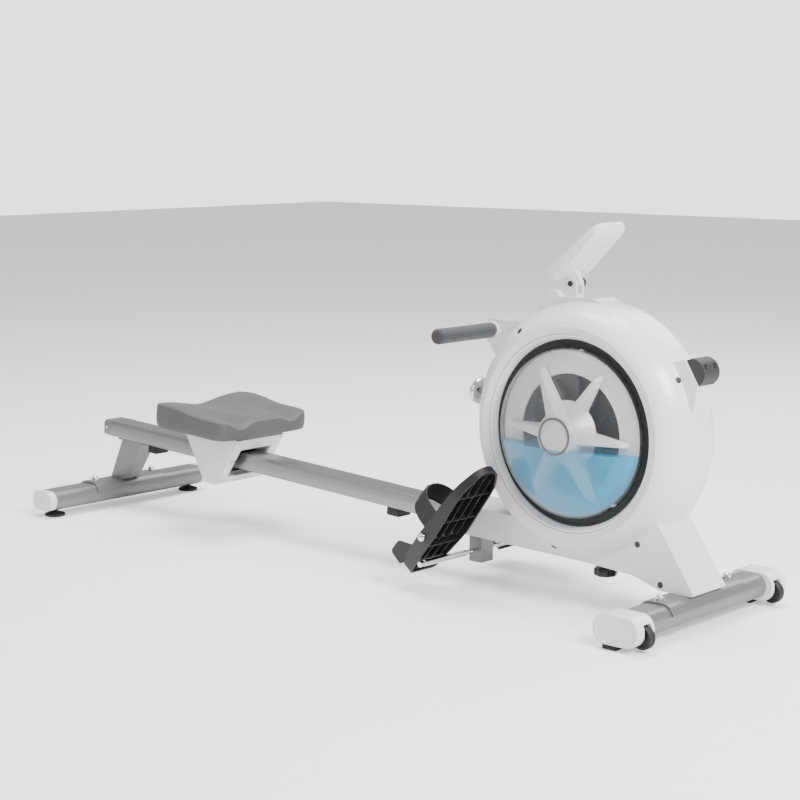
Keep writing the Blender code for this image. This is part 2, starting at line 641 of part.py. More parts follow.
def build_pedal(side, sign):
    deep = PEDAL_TOP - PEDAL_BOTTOM
    pedal = outline("pedal_" + side, [pedal_plan()], deep,
                    Matrix.Translation((0, 0, PEDAL_BOTTOM + deep / 2)), BLACK)
    pocket_deep = deep - PEDAL_SOLE + 0.01
    pocket = outline("pedal_pocket_" + side, [pedal_plan(PEDAL_WALL)], pocket_deep,
                     Matrix.Translation((0, 0, PEDAL_TOP - PEDAL_SOLE - pocket_deep / 2)))
    heel = -PEDAL_HEEL
    ear_shape = rounded([(heel - 0.002, PEDAL_TOP - 0.004, 0.002), (heel + 0.060, PEDAL_TOP - 0.004, 0.002),
                         (heel + 0.032, PEDAL_TOP + EAR_HEIGHT, 0.008), (heel - 0.002, PEDAL_TOP + EAR_HEIGHT, 0.010)],
                        0.0, 4)
    cup_half = PEDAL_WIDTH / 2 * 0.80
    ear = outline("pedal_ears_" + side, [ear_shape], 2 * cup_half, SIDE_VIEW)
    hollow = box("pedal_ear_hollow_" + side, (heel + 0.004, -cup_half + 0.005, PEDAL_TOP),
                 (heel + 0.10, cup_half - 0.005, PEDAL_TOP + EAR_HEIGHT + 0.01))
    cut(ear, hollow)
    hole = rod("pedal_bore_" + side, (0, -PEDAL_WIDTH, 0), (0, PEDAL_WIDTH, 0), PEDAL_SHAFT_RADIUS + 0.0006, sides=20)
    toe = PEDAL_LENGTH - PEDAL_HEEL
    slope = (PEDAL_TOE_BOTTOM - PEDAL_BOTTOM) / (toe - PEDAL_TAPER_START)
    beyond = toe + 0.05
    taper = outline("pedal_taper_" + side,
                    [[(PEDAL_TAPER_START, PEDAL_BOTTOM - 0.02), (beyond, PEDAL_BOTTOM - 0.02),
                      (beyond, PEDAL_BOTTOM + slope * (beyond - PEDAL_TAPER_START)),
                      (PEDAL_TAPER_START, PEDAL_BOTTOM)]], PEDAL_WIDTH + 0.04, SIDE_VIEW)
    join(pedal, ear)
    cut(pedal, pocket, hole, taper)
    for obj in (pedal, pocket, ear, hollow, hole, taper):
        obj.matrix_world = pedal_frame(sign)
    arch = []
    reach = PEDAL_WIDTH / 2 - 0.008
    for k in range(17):
        turn = math.pi * k / 16
        arch.append((-reach * math.cos(turn), FOOT_STRAP_RISE * math.sin(turn) ** 0.72))
    arch = [(y, PEDAL_TOP + GAP + height) for y, height in arch]
    strap = outline("pedal_strap_" + side, [strip(arch, FOOT_STRAP_THICK)], FOOT_STRAP_WIDTH,
                    Matrix.Translation((FOOT_STRAP_AT, 0, 0)) @ END_VIEW, BLACK, True)
    strap.matrix_world = pedal_frame(sign)
    floor = box("pedal_strap_trim_" + side, (-0.05, -0.1, PEDAL_TOP - 0.03), (0.12, 0.1, PEDAL_TOP + GAP))
    floor.matrix_world = pedal_frame(sign)
    cut(strap, floor)


def build_footrests():
    axle = pedal_axle_point()
    half = PEDAL_Y + PEDAL_WIDTH / 2
    tip = half + 0.009
    profile = [(0.0, tip), (0.005, tip - 0.001), (0.009, tip - 0.004), (0.010, half + 0.0015),
               (PEDAL_SHAFT_RADIUS, half + 0.0015)]
    profile += [(r, -h) for r, h in reversed(profile)]
    turned("pedal_shaft", profile, axle, finish=CHROME, steps=16)
    place = (TANK_X - FOOT_ROD_BEHIND, 0.0, FOOT_ROD_Z)
    sleeve_in = 0.055
    sleeve_out = FOOT_ROD_HALF - 0.016
    profile = [(0.0, FOOT_ROD_HALF), (0.006, FOOT_ROD_HALF), (0.006, sleeve_out + 0.004), (FOOT_ROD_RADIUS, sleeve_out + 0.004),
               (FOOT_ROD_RADIUS, sleeve_out), (FOOT_SLEEVE_RADIUS, sleeve_out), (FOOT_SLEEVE_RADIUS, sleeve_in),
               (FOOT_ROD_RADIUS, sleeve_in)]
    profile += [(r, -h) for r, h in reversed(profile)]
    turned("foot_stop_rod", profile, place, finish=CHROME, steps=14)
    for side, sign in SIDES:
        build_pedal(side, sign)
    bracket_x = place[0] - 0.001
    top = neck_bottom(bracket_x - TANK_X) - 0.0015
    low = BRACKET_LOW
    shape = [(-BRACKET_HALF, low), (BRACKET_HALF, low), (BRACKET_HALF, top), (-BRACKET_HALF, top)]
    inner_half = BRACKET_HALF - 0.003
    bracket = outline("foot_bracket", [shape], BRACKET_LENGTH,
                      Matrix.Translation((bracket_x, 0, 0)) @ END_VIEW, SILVER_PAINT)
    hollow = box("bracket_hollow", (bracket_x - BRACKET_LENGTH, -inner_half, low + 0.003),
                 (bracket_x + BRACKET_LENGTH / 2 - 0.003, inner_half, top - 0.003))
    hole = rod("bracket_hole", (place[0], -0.06, place[2]), (place[0], 0.06, place[2]), FOOT_ROD_RADIUS + 0.0006,
               sides=20)
    cut(bracket, hollow, hole)


# ---------------------------------------------------------------- housing
def neck_bottom(along):
    """Height of the housing's underside behind the tank."""
    return 0.100 - 0.031 * (along - 0.047)


def wall_profile(face, steps=8):
    """Half the housing's turned section, from the window's rim round to the seam."""
    rim = WINDOW_RADIUS + GAP
    points = [(rim, face)]
    shoulder = face * 0.30
    for k in range(steps + 1):
        turn = math.pi / 2 * k / steps
        radius = rim + FACE_LAND + (HOUSING_RADIUS - rim - FACE_LAND) * math.sin(turn) ** 1.3
        points.append((radius, shoulder + (face + 0.004 - shoulder) * math.cos(turn) ** 1.3))
    return points


def build_housing():
    face = HOUSING_FACE
    front = wall_profile(face)
    body_profile = [(0.0, face)] + front
    body_profile += [(r, -h) for r, h in reversed(body_profile)]
    shell = turned("housing_right", body_profile, AXLE_POINT, finish=WHITE, steps=72)

    neck_end = -0.345
    lower = [(neck_end, neck_bottom(neck_end), 0.006), (0.047, neck_bottom(0.047), 0.05), (0.146, 0.093, 0.05),
             (0.214, BAR_TOP + SADDLE_THICK + 2 * GAP, 0.004), (0.296, BAR_TOP + SADDLE_THICK + 2 * GAP, 0.004),
             (0.206, 0.205, 0.03), (0.05, 0.24, 0.0), (-0.10, 0.20, 0.0), (-0.17, 0.170, 0.05),
             (neck_end, rail_height(neck_end) + RAIL_HEIGHT / 2 + 0.014, 0.008)]
    skirt = outline("housing_skirt", [rounded([(TANK_X + p[0], p[1], p[2]) for p in lower], 0.0, 5)],
                    2 * LEG_HALF, side_place(), WHITE)
    handle = (-HANDLE_BEHIND, HANDLE_Z)
    cradle_points = [(handle[0] - 0.020, handle[1] + 0.0218, 0.004), (handle[0] - 0.020, handle[1] - 0.020, 0.008),
                     (-0.215, 0.480, 0.03), (-0.10, 0.48, 0.0), (-0.10, handle[1] + 0.0245, 0.0)]
    cradle = outline("housing_cradle", [rounded([(TANK_X + p[0], p[1], p[2]) for p in cradle_points], 0.0, 4)],
                     2 * CRADLE_HALF, side_place(), WHITE)
    nose_points = [(0.10, 0.50), (0.243, 0.5365), (0.2735, 0.486), (0.262, 0.430), (0.18, 0.38)]
    nose = outline("housing_nose", [[(TANK_X + x, z) for x, z in nose_points]], BUMPER_WIDTH + 0.008, side_place(), WHITE)
    mound_points = [(-0.125, -0.037, 0.0), (-0.119, 0.004, 0.015), (-0.102, 0.0175, 0.010), (-0.078, 0.0175, 0.007),
                    (-0.066, 0.004, 0.005), (0.020, 0.006, 0.03), (0.058, -0.012, 0.0), (0.0, -0.077, 0.0)]
    mound = outline("housing_mound",
                    [rounded([(TANK_X + p[0], CROWN_Z + p[1], p[2]) for p in mound_points], 0.0, 4)],
                    0.064, side_place(), WHITE)
    join(shell, skirt, cradle, nose, mound)

    wall = HOUSING_WALL
    cavity_profile = [(0.0, face + 0.05), (WINDOW_RADIUS + GAP, face + 0.05), (WINDOW_RADIUS + GAP, TRIM_BACK - 0.004)]
    cavity_profile += [(HOUSING_RADIUS - 0.022, TRIM_BACK - 0.006), (HOUSING_RADIUS - wall - 0.003, 0.030)]
    cavity_profile += [(r, -h) for r, h in reversed(cavity_profile)]
    cavity = turned("housing_cavity", cavity_profile, AXLE_POINT, steps=72)
    rail_half_y = RAIL_WIDTH / 2 + 0.0005
    rail_half_z = RAIL_HEIGHT / 2 + 0.0005
    rail_room = box("housing_rail_room", (neck_end - 0.05, -rail_half_y, -rail_half_z),
                    (-RAIL_FRONT_BEHIND + 0.001, rail_half_y, rail_half_z))
    rail_room.matrix_world = rail_frame(0.0)
    axle = pedal_axle_point()
    axle_room = rod("housing_axle_hole", axle + Vector((0, -0.1, 0)), axle + Vector((0, 0.1, 0)),
                    PEDAL_SHAFT_RADIUS + 0.0008, sides=20)
    leg_room_points = [(TANK_X + 0.226, 0.05), (TANK_X + 0.284, 0.05), (TANK_X + 0.190, 0.200),
                       (TANK_X + 0.120, 0.230), (TANK_X + 0.060, 0.190)]
    leg_room = outline("housing_leg_room", [leg_room_points], 2 * (LEG_HALF - wall), side_place())
    notch = rod("housing_handle_notch", HANDLE_POINT + Vector((0, -0.05, 0)), HANDLE_POINT + Vector((0, 0.05, 0)),
                HUB_RADIUS + 0.0006, sides=28)
    notch_mouth = box("housing_notch_mouth", (HANDLE_POINT.x - 0.05, -0.05, HANDLE_Z - HUB_RADIUS - 0.0006),
                      (HANDLE_POINT.x, 0.05, HANDLE_Z + HUB_RADIUS + 0.0006))
    slot_half = STRAP_WIDTH / 2 + 0.003
    strap_room = outline("housing_strap_slot", [[(HANDLE_POINT.x, HANDLE_Z - 0.032), (HANDLE_POINT.x, HANDLE_Z + 0.010),
                                                 (TANK_X - 0.175, HANDLE_Z + 0.010), (TANK_X - 0.06, 0.48),
                                                 (TANK_X - 0.10, 0.42)]],
                         2 * slot_half, side_place())
    post_room = box("housing_post_room", (CONSOLE_POINT.x - POST_REAR - GAP, -POST_HALF - GAP, POST_FOOT_Z - GAP),
                    (CONSOLE_POINT.x + POST_FRONT + GAP, POST_HALF + GAP, 0.70))
    dial = dial_frame()
    dial_room = rod("housing_dial_hole", dial @ Vector((0, 0, -0.06)), dial @ Vector((0, 0, 0.05)), 0.0056, sides=20)
    bolt = rod("housing_knob_hole", (TANK_X + FRAME_KNOB_AHEAD, 0, 0.05), (TANK_X + FRAME_KNOB_AHEAD, 0, 0.13),
               0.0056, sides=20)
    half = box("housing_far_half", (TANK_X - 0.6, -GAP / 2, -0.1), (TANK_X + 0.6, 0.3, 1.0))
    cut(shell, cavity, rail_room, axle_room, leg_room, notch, notch_mouth, strap_room, post_room, dial_room, bolt, half)
    mirrored(shell, "housing_left", WHITE)


def dial_frame():
    """The dial's frame on the housing's rear edge: z points out along its axle."""
    out = Vector((-math.cos(DIAL_RISE), 0.0, math.sin(DIAL_RISE)))
    place = AXLE_POINT + out * (HOUSING_RADIUS - 0.002) + Vector((0.0, DIAL_Y, 0.0))
    return Matrix.Translation(place) @ out.to_track_quat("Z", "Y").to_matrix().to_4x4()


# ---------------------------------------------------------------- tank
def dome_curve(radius, apex, shoulder, steps=6):
    """The dome's outline from its centre down to its shoulder."""
    return [(radius * math.sin(math.pi / 2 * k / steps),
             shoulder + (apex - shoulder) * math.cos(math.pi / 2 * k / steps)) for k in range(steps + 1)]


def build_tank(side, sign):
    turn = Matrix.Diagonal((1.0, -sign, 1.0, 1.0)) @ TURN_ALONG_Y
    flip = Matrix.Rotation(math.radians(90 if sign < 0 else -90), 4, "X")
    inner_trim = WINDOW_RADIUS - TRIM_WIDTH
    outer = WINDOW_RADIUS - GAP
    turned("trim_ring_" + side, [(inner_trim, HOUSING_FACE - 0.004), (outer - 0.002, HOUSING_FACE - 0.001),
                                 (outer, HOUSING_FACE - 0.003), (outer, TRIM_BACK), (inner_trim, TRIM_BACK)],
           AXLE_POINT, flip, GREY_TRIM, 48, closed=True)
    seal_out = inner_trim - GAP
    seal_in = DOME_RADIUS + GAP
    turned("seal_ring_" + side, [(seal_in, TRIM_BACK + 0.003), (seal_out, TRIM_BACK + 0.005), (seal_out, DOME_SEAT),
                                 (seal_in, DOME_SEAT)],
           AXLE_POINT, flip, BLACK, 48, closed=True)
    skin = dome_curve(DOME_RADIUS, DOME_APEX, DOME_SHOULDER) + [(DOME_RADIUS, DOME_SEAT)]
    inside = dome_curve(DOME_RADIUS - DOME_WALL, DOME_APEX - DOME_WALL, DOME_SHOULDER)
    inside += [(DOME_RADIUS - DOME_WALL, DOME_SEAT)]
    turned("tank_dome_" + side, skin + inside[::-1], AXLE_POINT, flip, CLEAR, 48)
    rim = DOME_RADIUS - DOME_WALL - GAP
    cup = [(CUP_HOLE_RADIUS, CUP_FACE), (rim, CUP_FACE), (rim, CUP_FACE - CUP_WALL),
           (CUP_HOLE_RADIUS + CUP_WALL, CUP_FACE - CUP_WALL), (CUP_HOLE_RADIUS + CUP_WALL, CUP_BACK),
           (SHAFT_RADIUS + 0.0008, CUP_BACK), (SHAFT_RADIUS + 0.0008, CUP_BACK + CUP_WALL),
           (CUP_HOLE_RADIUS, CUP_BACK + CUP_WALL)]
    turned("tank_cup_" + side, cup, AXLE_POINT, flip, WHITE, 48, closed=True)
    build_impeller(side, sign, flip)


def build_impeller(side, sign, flip):
    """Six tapered paddles on a conical hub, in front of the cup's opening."""
    back = CUP_FACE + 0.002
    tip = DOME_APEX - DOME_WALL - 0.002
    hub = turned("impeller_" + side, [(0.0, tip), (HUB_TIP_RADIUS - 0.002, tip), (HUB_TIP_RADIUS, tip - 0.002),
                                      (HUB_BASE_RADIUS, back), (HUB_BASE_RADIUS - 0.004, back - 0.008),
                                      (SHAFT_RADIUS + GAP, back - 0.008), (SHAFT_RADIUS + GAP, tip - 0.012),
                                      (0.0, tip - 0.012)],
                 AXLE_POINT, flip, WHITE, 48)
    outward = DOME_APEX - DOME_SHOULDER
    edge = DOME_SHOULDER + outward * math.sqrt(1.0 - (BLADE_RADIUS / DOME_RADIUS) ** 2) - DOME_WALL - 0.004
    for k in range(BLADE_COUNT):
        paddle = outline("paddle_%s_%d" % (side, k),
                         [[(HUB_TIP_RADIUS - 0.006, back), (BLADE_RADIUS, back), (BLADE_RADIUS, edge - 0.008),
                           (BLADE_RADIUS - 0.012, edge), (HUB_TIP_RADIUS + 0.004, tip - 0.010),
                           (HUB_TIP_RADIUS - 0.006, tip - 0.012)]],
                         BLADE_THICK, SIDE_VIEW)
        bm = bmesh.new()
        bm.from_mesh(paddle.data)
        for vert in bm.verts:
            lean = (vert.co.x - HUB_TIP_RADIUS) / (BLADE_RADIUS - HUB_TIP_RADIUS)
            vert.co.y *= 1.3 - 0.8 * lean
        bm.to_mesh(paddle.data)
        bm.free()
        turn = Matrix.Rotation(2 * math.pi * (k + BLADE_PHASE) / BLADE_COUNT, 4, "Z")
        paddle.matrix_world = Matrix.Translation(AXLE_POINT) @ flip @ turn
        join(hub, paddle)


def build_drive():
    reach = DOME_APEX - DOME_WALL - 0.002 - 0.012 - GAP
    turned("impeller_shaft", [(0.0, reach), (SHAFT_RADIUS, reach), (SHAFT_RADIUS, -reach), (0.0, -reach)],
           AXLE_POINT, finish=CHROME, steps=16)
    flange = SPOOL_RADIUS + 0.014
    half = SPOOL_HALF
    inner = STRAP_WIDTH / 2 + 0.001
    turned("strap_spool", [(SHAFT_RADIUS + GAP, half), (flange, half), (flange, inner), (SPOOL_RADIUS, inner),
                           (SPOOL_RADIUS, -inner), (flange, -inner), (flange, -half), (SHAFT_RADIUS + GAP, -half)],
           AXLE_POINT, finish=DARK_GREY, steps=28, closed=True)
    case = flange + 0.012
    turned("recoil_spring_case", [(SHAFT_RADIUS + 0.0008, -half - 0.001), (case, -half - 0.001),
                                  (case, -CUP_BACK + 0.001), (SHAFT_RADIUS + 0.0008, -CUP_BACK + 0.001)],
           AXLE_POINT, finish=DARK_GREY, steps=32, closed=True)
    centre = roller_point()
    half = STRAP_WIDTH / 2 + 0.0022
    turned("strap_roller", [(0.0, half), (0.004, half), (0.004, half - 0.001), (ROLLER_RADIUS, half - 0.001),
                            (ROLLER_RADIUS, 0.001 - half), (0.004, 0.001 - half), (0.004, -half), (0.0, -half)],
           centre, finish=MID_GREY, steps=28)
    outline("drive_strap", [strip(strap_path(), STRAP_THICK)], STRAP_WIDTH, side_place(), BLACK)


def roller_point():
    """The guide roller's axis, just under the strap's level run to the handle."""
    return Vector((TANK_X - ROLLER_BEHIND, 0.0, HANDLE_Z - STRAP_THICK / 2 - GAP - ROLLER_RADIUS))


def strap_path():
    """The strap's route in side view: handle, over the roller, then round the top of the spool."""
    first = roller_point().xz
    second = AXLE_POINT.xz
    near = ROLLER_RADIUS + GAP + STRAP_THICK / 2
    far = SPOOL_RADIUS + GAP + STRAP_THICK / 2
    run = second - first
    normal = math.atan2(run.y, run.x) + math.acos((near - far) / run.length)
    points = [(HANDLE_POINT.x + HUB_RADIUS + GAP, first.y + near), (first.x - 0.006, first.y + near)]
    for k in range(7):
        turn = math.pi / 2 + (normal - math.pi / 2) * k / 6
        points.append((first.x + near * math.cos(turn), first.y + near * math.sin(turn)))
    for k in range(9):
        turn = normal - math.radians(120) * k / 8
        points.append((second.x + far * math.cos(turn), second.y + far * math.sin(turn)))
    return points


# ---------------------------------------------------------------- handle
def build_handle():
    ends = HANDLE_HALF - 0.004
    turned("handle_bar", [(0.0, ends), (HANDLE_BAR_RADIUS, ends), (HANDLE_BAR_RADIUS, -ends), (0.0, -ends)],
           HANDLE_POINT, finish=SILVER_PAINT, steps=24)
    bore = HANDLE_BAR_RADIUS + GAP
    turned("handle_hub", [(bore, GRIP_START - 0.0005), (HUB_RADIUS - 0.002, GRIP_START - 0.0005),
                          (HUB_RADIUS, GRIP_START - 0.0025), (HUB_RADIUS, 0.0025 - GRIP_START),
                          (HUB_RADIUS - 0.002, 0.0005 - GRIP_START), (bore, 0.0005 - GRIP_START)],
           HANDLE_POINT, finish=WHITE, steps=24, closed=True)
    for side, sign in SIDES:
        flip = Matrix.Rotation(math.radians(90 if sign < 0 else -90), 4, "X")
        skin = [(0.0, HANDLE_HALF), (GRIP_RADIUS - 0.006, HANDLE_HALF), (GRIP_RADIUS - 0.0015, HANDLE_HALF - 0.003),
                (GRIP_RADIUS, HANDLE_HALF - 0.007), (GRIP_RADIUS, GRIP_START + 0.004),
                (GRIP_RADIUS - 0.003, GRIP_START), (bore, GRIP_START), (bore, ends + GAP), (0.0, ends + GAP)]
        turned("handle_grip_" + side, skin, HANDLE_POINT, flip, DARK_GREY, 20)


# ---------------------------------------------------------------- console, knobs and bumper
def console_frame():
    """Console frame at its hinge: x up the face, y across, z out of the back."""
    return Matrix.Translation(CONSOLE_POINT) @ Matrix.Rotation(-CONSOLE_PITCH, 4, "Y")


def build_console():
    frame = console_frame()
    low = -0.023
    high = low + CONSOLE_LENGTH
    lift = CONSOLE_LIFT
    thin = CONSOLE_THICK * 0.50
    side = rounded([(low, lift), (low, lift - CONSOLE_THICK + 0.010, 0.008), (low + 0.020, lift - CONSOLE_THICK, 0.010),
                    (high - 0.020, lift - thin, 0.008), (high, lift - 0.006, 0.003), (high, lift)], 0.0, 3)
    body = outline("console_body", [side], CONSOLE_WIDTH, SIDE_VIEW, WHITE)
    plan = outline("console_plan", [rectangle(CONSOLE_LENGTH + 0.001, CONSOLE_WIDTH - 0.001, 0.022, 5)], 0.1,
                   Matrix.Translation(((low + high) / 2, 0, lift - 0.02)))
    body.matrix_world = frame
    plan.matrix_world = frame
    combine(body, plan, "INTERSECT")
    glass = 0.002
    recess = outline("console_recess", [rectangle(CONSOLE_LENGTH - 0.030, CONSOLE_WIDTH - 0.020, 0.010, 4)], 2 * glass,
                     Matrix.Translation(((low + high) / 2, 0, lift)))
    door_size = (0.062, 0.050)
    door_deep = 0.003
    slope = math.atan2(CONSOLE_THICK - thin, high - low - 0.040)
    door_at = Matrix.Translation((low + 0.084, 0, lift - CONSOLE_THICK + math.tan(slope) * 0.064))
    door_at = door_at @ Matrix.Rotation(-slope, 4, "Y")
    door_recess = outline("console_door_recess", [rectangle(door_size[0], door_size[1], 0.006, 3)], 2 * door_deep, door_at)
    recess.matrix_world = frame
    door_recess.matrix_world = frame
    cut(body, recess, door_recess)
    screen = outline("console_screen", [rectangle(CONSOLE_LENGTH - 0.0308, CONSOLE_WIDTH - 0.0208, 0.0096, 4)],
                     glass - 2 * GAP, Matrix.Translation(((low + high) / 2, 0, lift - glass / 2)), BLACK)
    door = outline("console_battery_door", [rectangle(door_size[0] - 0.0008, door_size[1] - 0.0008, 0.0056, 3)],
                   door_deep - 2 * GAP, door_at @ Matrix.Translation((0, 0, door_deep / 2)), WHITE)
    screen.matrix_world = frame
    door.matrix_world = frame
    ears_half = POST_HALF - 0.0065
    lug = outline("console_lug", [rounded([(-0.013, -0.012), (0.016, -0.012), (0.022, lift - CONSOLE_THICK + 0.006),
                                           (-0.008, lift - CONSOLE_THICK + 0.006)], 0.006, 3)],
                  2 * ears_half - 0.001, SIDE_VIEW)
    lug.matrix_world = frame
    hole = rod("console_lug_hole", CONSOLE_POINT + Vector((0, -0.05, 0)), CONSOLE_POINT + Vector((0, 0.05, 0)), 0.0038,
               sides=16)
    join(body, lug)
    cut(body, hole)
    build_post(ears_half)


def build_post(fork_half):
    """The fork that carries the console, sunk in the housing's mound, and its clamp knob."""
    x = CONSOLE_POINT.x
    top = CONSOLE_PIVOT_Z + 0.008
    shape = [(x - POST_REAR, POST_FOOT_Z), (x + POST_FRONT, POST_FOOT_Z), (x + POST_FRONT, top, 0.006),
             (x - 0.010, top, 0.004), (x - POST_REAR, CONSOLE_PIVOT_Z - 0.014)]
    post = outline("console_post", [rounded(shape, 0.0, 3)], 2 * POST_HALF, side_place(), WHITE)
    fork = box("post_fork", (x - 0.05, -fork_half, CONSOLE_PIVOT_Z - 0.021), (x + 0.05, fork_half, top + 0.01))
    hole = rod("post_hole", (x, -0.05, CONSOLE_PIVOT_Z), (x, 0.05, CONSOLE_PIVOT_Z), 0.0038, sides=16)
    cut(post, fork, hole)
    half = POST_HALF
    turned("console_knob", [(0.0, half + 0.004), (0.006, half + 0.004), (0.006, half + 0.0006), (0.0034, half + 0.0006),
                            (0.0034, -half - 0.0006), (0.011, -half - 0.0006), (0.012, -half - 0.003),
                            (0.010, -half - 0.014), (0.0, -half - 0.015)],
           CONSOLE_POINT, finish=BLACK, steps=20)


def build_dial():
    dial = turned("resistance_dial", [(0.0, 0.028), (DIAL_RADIUS * 0.72, 0.028), (DIAL_RADIUS * 0.86, 0.024),
                                      (DIAL_RADIUS, 0.012), (DIAL_RADIUS, 0.009), (0.005, 0.009), (0.005, -0.016),
                                      (0.0, -0.016)],
                  (0, 0, 0), Matrix.Identity(4), CHROME, 28)
    dial.matrix_world = dial_frame()


def build_bumper():
    """The grey block on the housing's nose, on which the machine leans when it is stored upright."""
    base_low = Vector((TANK_X + 0.2735, 0.486))
    base_high = Vector((TANK_X + 0.243, 0.5365))
    run = base_high - base_low
    out = Vector((run.y, -run.x)).normalized()
    along = run.normalized()
    rise = 0.026
    points = [base_low + out * GAP, base_high + out * GAP - along * 0.001]
    arc = []
    for k in range(9):
        turn = math.pi * k / 8
        arc.append(base_high + out * (0.002 + rise * math.sin(turn)) + (base_low - base_high) * (0.5 - 0.48 * math.cos(turn)))
    shape = [tuple(points[0])] + [tuple(p) for p in reversed(arc)] + [tuple(points[1])]
    outline("storage_bumper", [shape], BUMPER_WIDTH, side_place(), MID_GREY)


def build_frame_knob():
    """The star knob under the housing that clamps the rail to the front frame."""
    x = TANK_X + FRAME_KNOB_AHEAD
    top = neck_bottom(FRAME_KNOB_AHEAD) - 0.002
    turned("frame_knob", [(0.0, 0.128), (0.005, 0.128), (0.005, top - 0.006), (0.013, top - 0.006), (0.015, top - 0.014),
                          (KNOB_RADIUS, top - 0.016), (KNOB_RADIUS, top - 0.030), (KNOB_RADIUS - 0.004, top - 0.034),
                          (0.0, top - 0.034)],
           (x, 0.0, 0.0), Matrix.Identity(4), BLACK, 24)


def main():
    build_rail()
    stop_block("rear_rail_stop", REAR_STOP_BEHIND, 0.030, 0.022)
    stop_block("front_rail_stop", FRONT_STOP_BEHIND, 0.036, 0.022)
    build_rear_support()
    build_front_support()
    build_seat()
    build_footrests()
    build_housing()
    for side, sign in SIDES:
        build_tank(side, sign)
    build_drive()
    build_handle()
    build_console()
    build_dial()
    build_bumper()
    build_frame_knob()


main()
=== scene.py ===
"""Rowing machine with a water tank: finishes, soft parts and small fittings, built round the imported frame."""

import json
import math

import bmesh
import bpy
from mathutils import Matrix, Vector
from mathutils.bvhtree import BVHTree

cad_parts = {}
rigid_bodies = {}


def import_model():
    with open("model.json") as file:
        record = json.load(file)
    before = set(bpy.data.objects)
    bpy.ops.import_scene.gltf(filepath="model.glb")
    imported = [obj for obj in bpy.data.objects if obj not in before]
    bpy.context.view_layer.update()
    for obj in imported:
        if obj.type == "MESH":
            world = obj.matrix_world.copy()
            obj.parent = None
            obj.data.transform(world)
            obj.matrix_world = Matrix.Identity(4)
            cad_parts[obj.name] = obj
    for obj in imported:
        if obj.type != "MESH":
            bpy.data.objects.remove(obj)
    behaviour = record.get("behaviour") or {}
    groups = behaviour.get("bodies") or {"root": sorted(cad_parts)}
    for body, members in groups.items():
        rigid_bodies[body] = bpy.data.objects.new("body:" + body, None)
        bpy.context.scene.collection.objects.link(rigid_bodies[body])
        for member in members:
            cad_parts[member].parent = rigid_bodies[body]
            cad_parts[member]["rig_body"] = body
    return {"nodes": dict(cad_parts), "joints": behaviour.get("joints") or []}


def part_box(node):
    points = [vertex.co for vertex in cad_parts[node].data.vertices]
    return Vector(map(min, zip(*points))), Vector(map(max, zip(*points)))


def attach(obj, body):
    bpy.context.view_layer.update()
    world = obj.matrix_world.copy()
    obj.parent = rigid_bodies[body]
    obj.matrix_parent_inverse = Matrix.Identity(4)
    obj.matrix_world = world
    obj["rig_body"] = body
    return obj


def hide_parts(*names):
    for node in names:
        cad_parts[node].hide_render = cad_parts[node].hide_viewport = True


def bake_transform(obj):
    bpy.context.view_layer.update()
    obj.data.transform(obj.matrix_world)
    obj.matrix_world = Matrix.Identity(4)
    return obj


bl_info = {
    "name": "Rowing machine",
    "version": (1, 0, 0),
    "blender": (4, 5, 0),
    "location": "3D View > Sidebar > Rower",
    "description": "Finishes, cushion and fittings of an indoor rowing machine",
    "category": "Add Mesh",
}

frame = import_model()
NODES = frame["nodes"]
JOINTS = {joint["name"]: joint for joint in frame["joints"]}
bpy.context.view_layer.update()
SIDES = (("right", -1.0), ("left", 1.0))

LYING_ACROSS = Matrix.Rotation(math.radians(90), 4, "X")
MERGE = 0.000002


# ---- what the frame says
def joint_point(name):
    """The point that a hinge turns about."""
    return Vector(JOINTS[name]["pos_m"])


def middle(node):
    """The middle of a CAD node's box."""
    low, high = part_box(node)
    return (low + high) / 2


def span(node):
    """The size of a CAD node's box."""
    low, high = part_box(node)
    return high - low


def reaches(node):
    """How far out from the middle plane a CAD node starts and ends."""
    return sorted(abs(corner.y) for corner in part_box(node))


def body_of(node):
    """The body that a CAD node belongs to."""
    return NODES[node]["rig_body"]


AXLE = joint_point("impeller_spin")
RAIL_RUN = Vector(JOINTS["seat_slide"]["axis"])
RAIL_TILT = math.atan2(-RAIL_RUN.z, RAIL_RUN.x)
HANDLE = middle("handle_bar")


def at(*place):
    """A frame moved to a point."""
    return Matrix.Translation(place)


def outward(sign):
    """A frame on the tank's axle whose z points out of one side."""
    return at(*AXLE) @ Matrix.Rotation(math.radians(90 if sign < 0 else -90), 4, "X")


# ---- sizes and colours
def length(name, description, value, low, high):
    """A length property with its default and its limits."""
    return bpy.props.FloatProperty(name=name, description=description, default=value, min=low, max=high,
                                   unit="LENGTH")


def angle(name, description, degrees):
    """An angle property with its default."""
    return bpy.props.FloatProperty(name=name, description=description, default=math.radians(degrees),
                                   subtype="ANGLE", unit="ROTATION")


def colour(name, description, value):
    """A colour property with its default."""
    return bpy.props.FloatVectorProperty(name=name, description=description, default=value, size=3, min=0.0,
                                         max=1.0, subtype="COLOR")


class RowerSizes(bpy.types.PropertyGroup):
    """Sizes of the pieces that aren't in the frame."""

    water_drop: length("Water drop", "Water surface below the tank's axle", 0.028, 0.0, 0.1)
    window_depth: length("Window depth", "Depth of the window's seal below the housing", 0.0125, 0.002, 0.016)
    plug_radius: length("Screw plug radius", "Radius of the plugs over the housing's screws", 0.0066, 0.002,
                        0.01)
    nut_radius: length("Nut radius", "Radius of the dome nuts on the foot bars", 0.0085, 0.004, 0.015)
    foot_pitch: angle("Footrest pitch", "Slope of the soles at rest", 48.4)
    console_pitch: angle("Console pitch", "Slope of the console's face at rest", 38.7)
    thigh_dip: length("Thigh dip", "Depth of the seat's thigh grooves", 0.021, 0.0, 0.03)
    tail_rise: length("Tail rise", "Height of the seat's raised rear corners", 0.013, 0.0, 0.03)
    rib_thickness: length("Rib thickness", "Thickness of the ribs under the footrests", 0.0026, 0.001, 0.006)


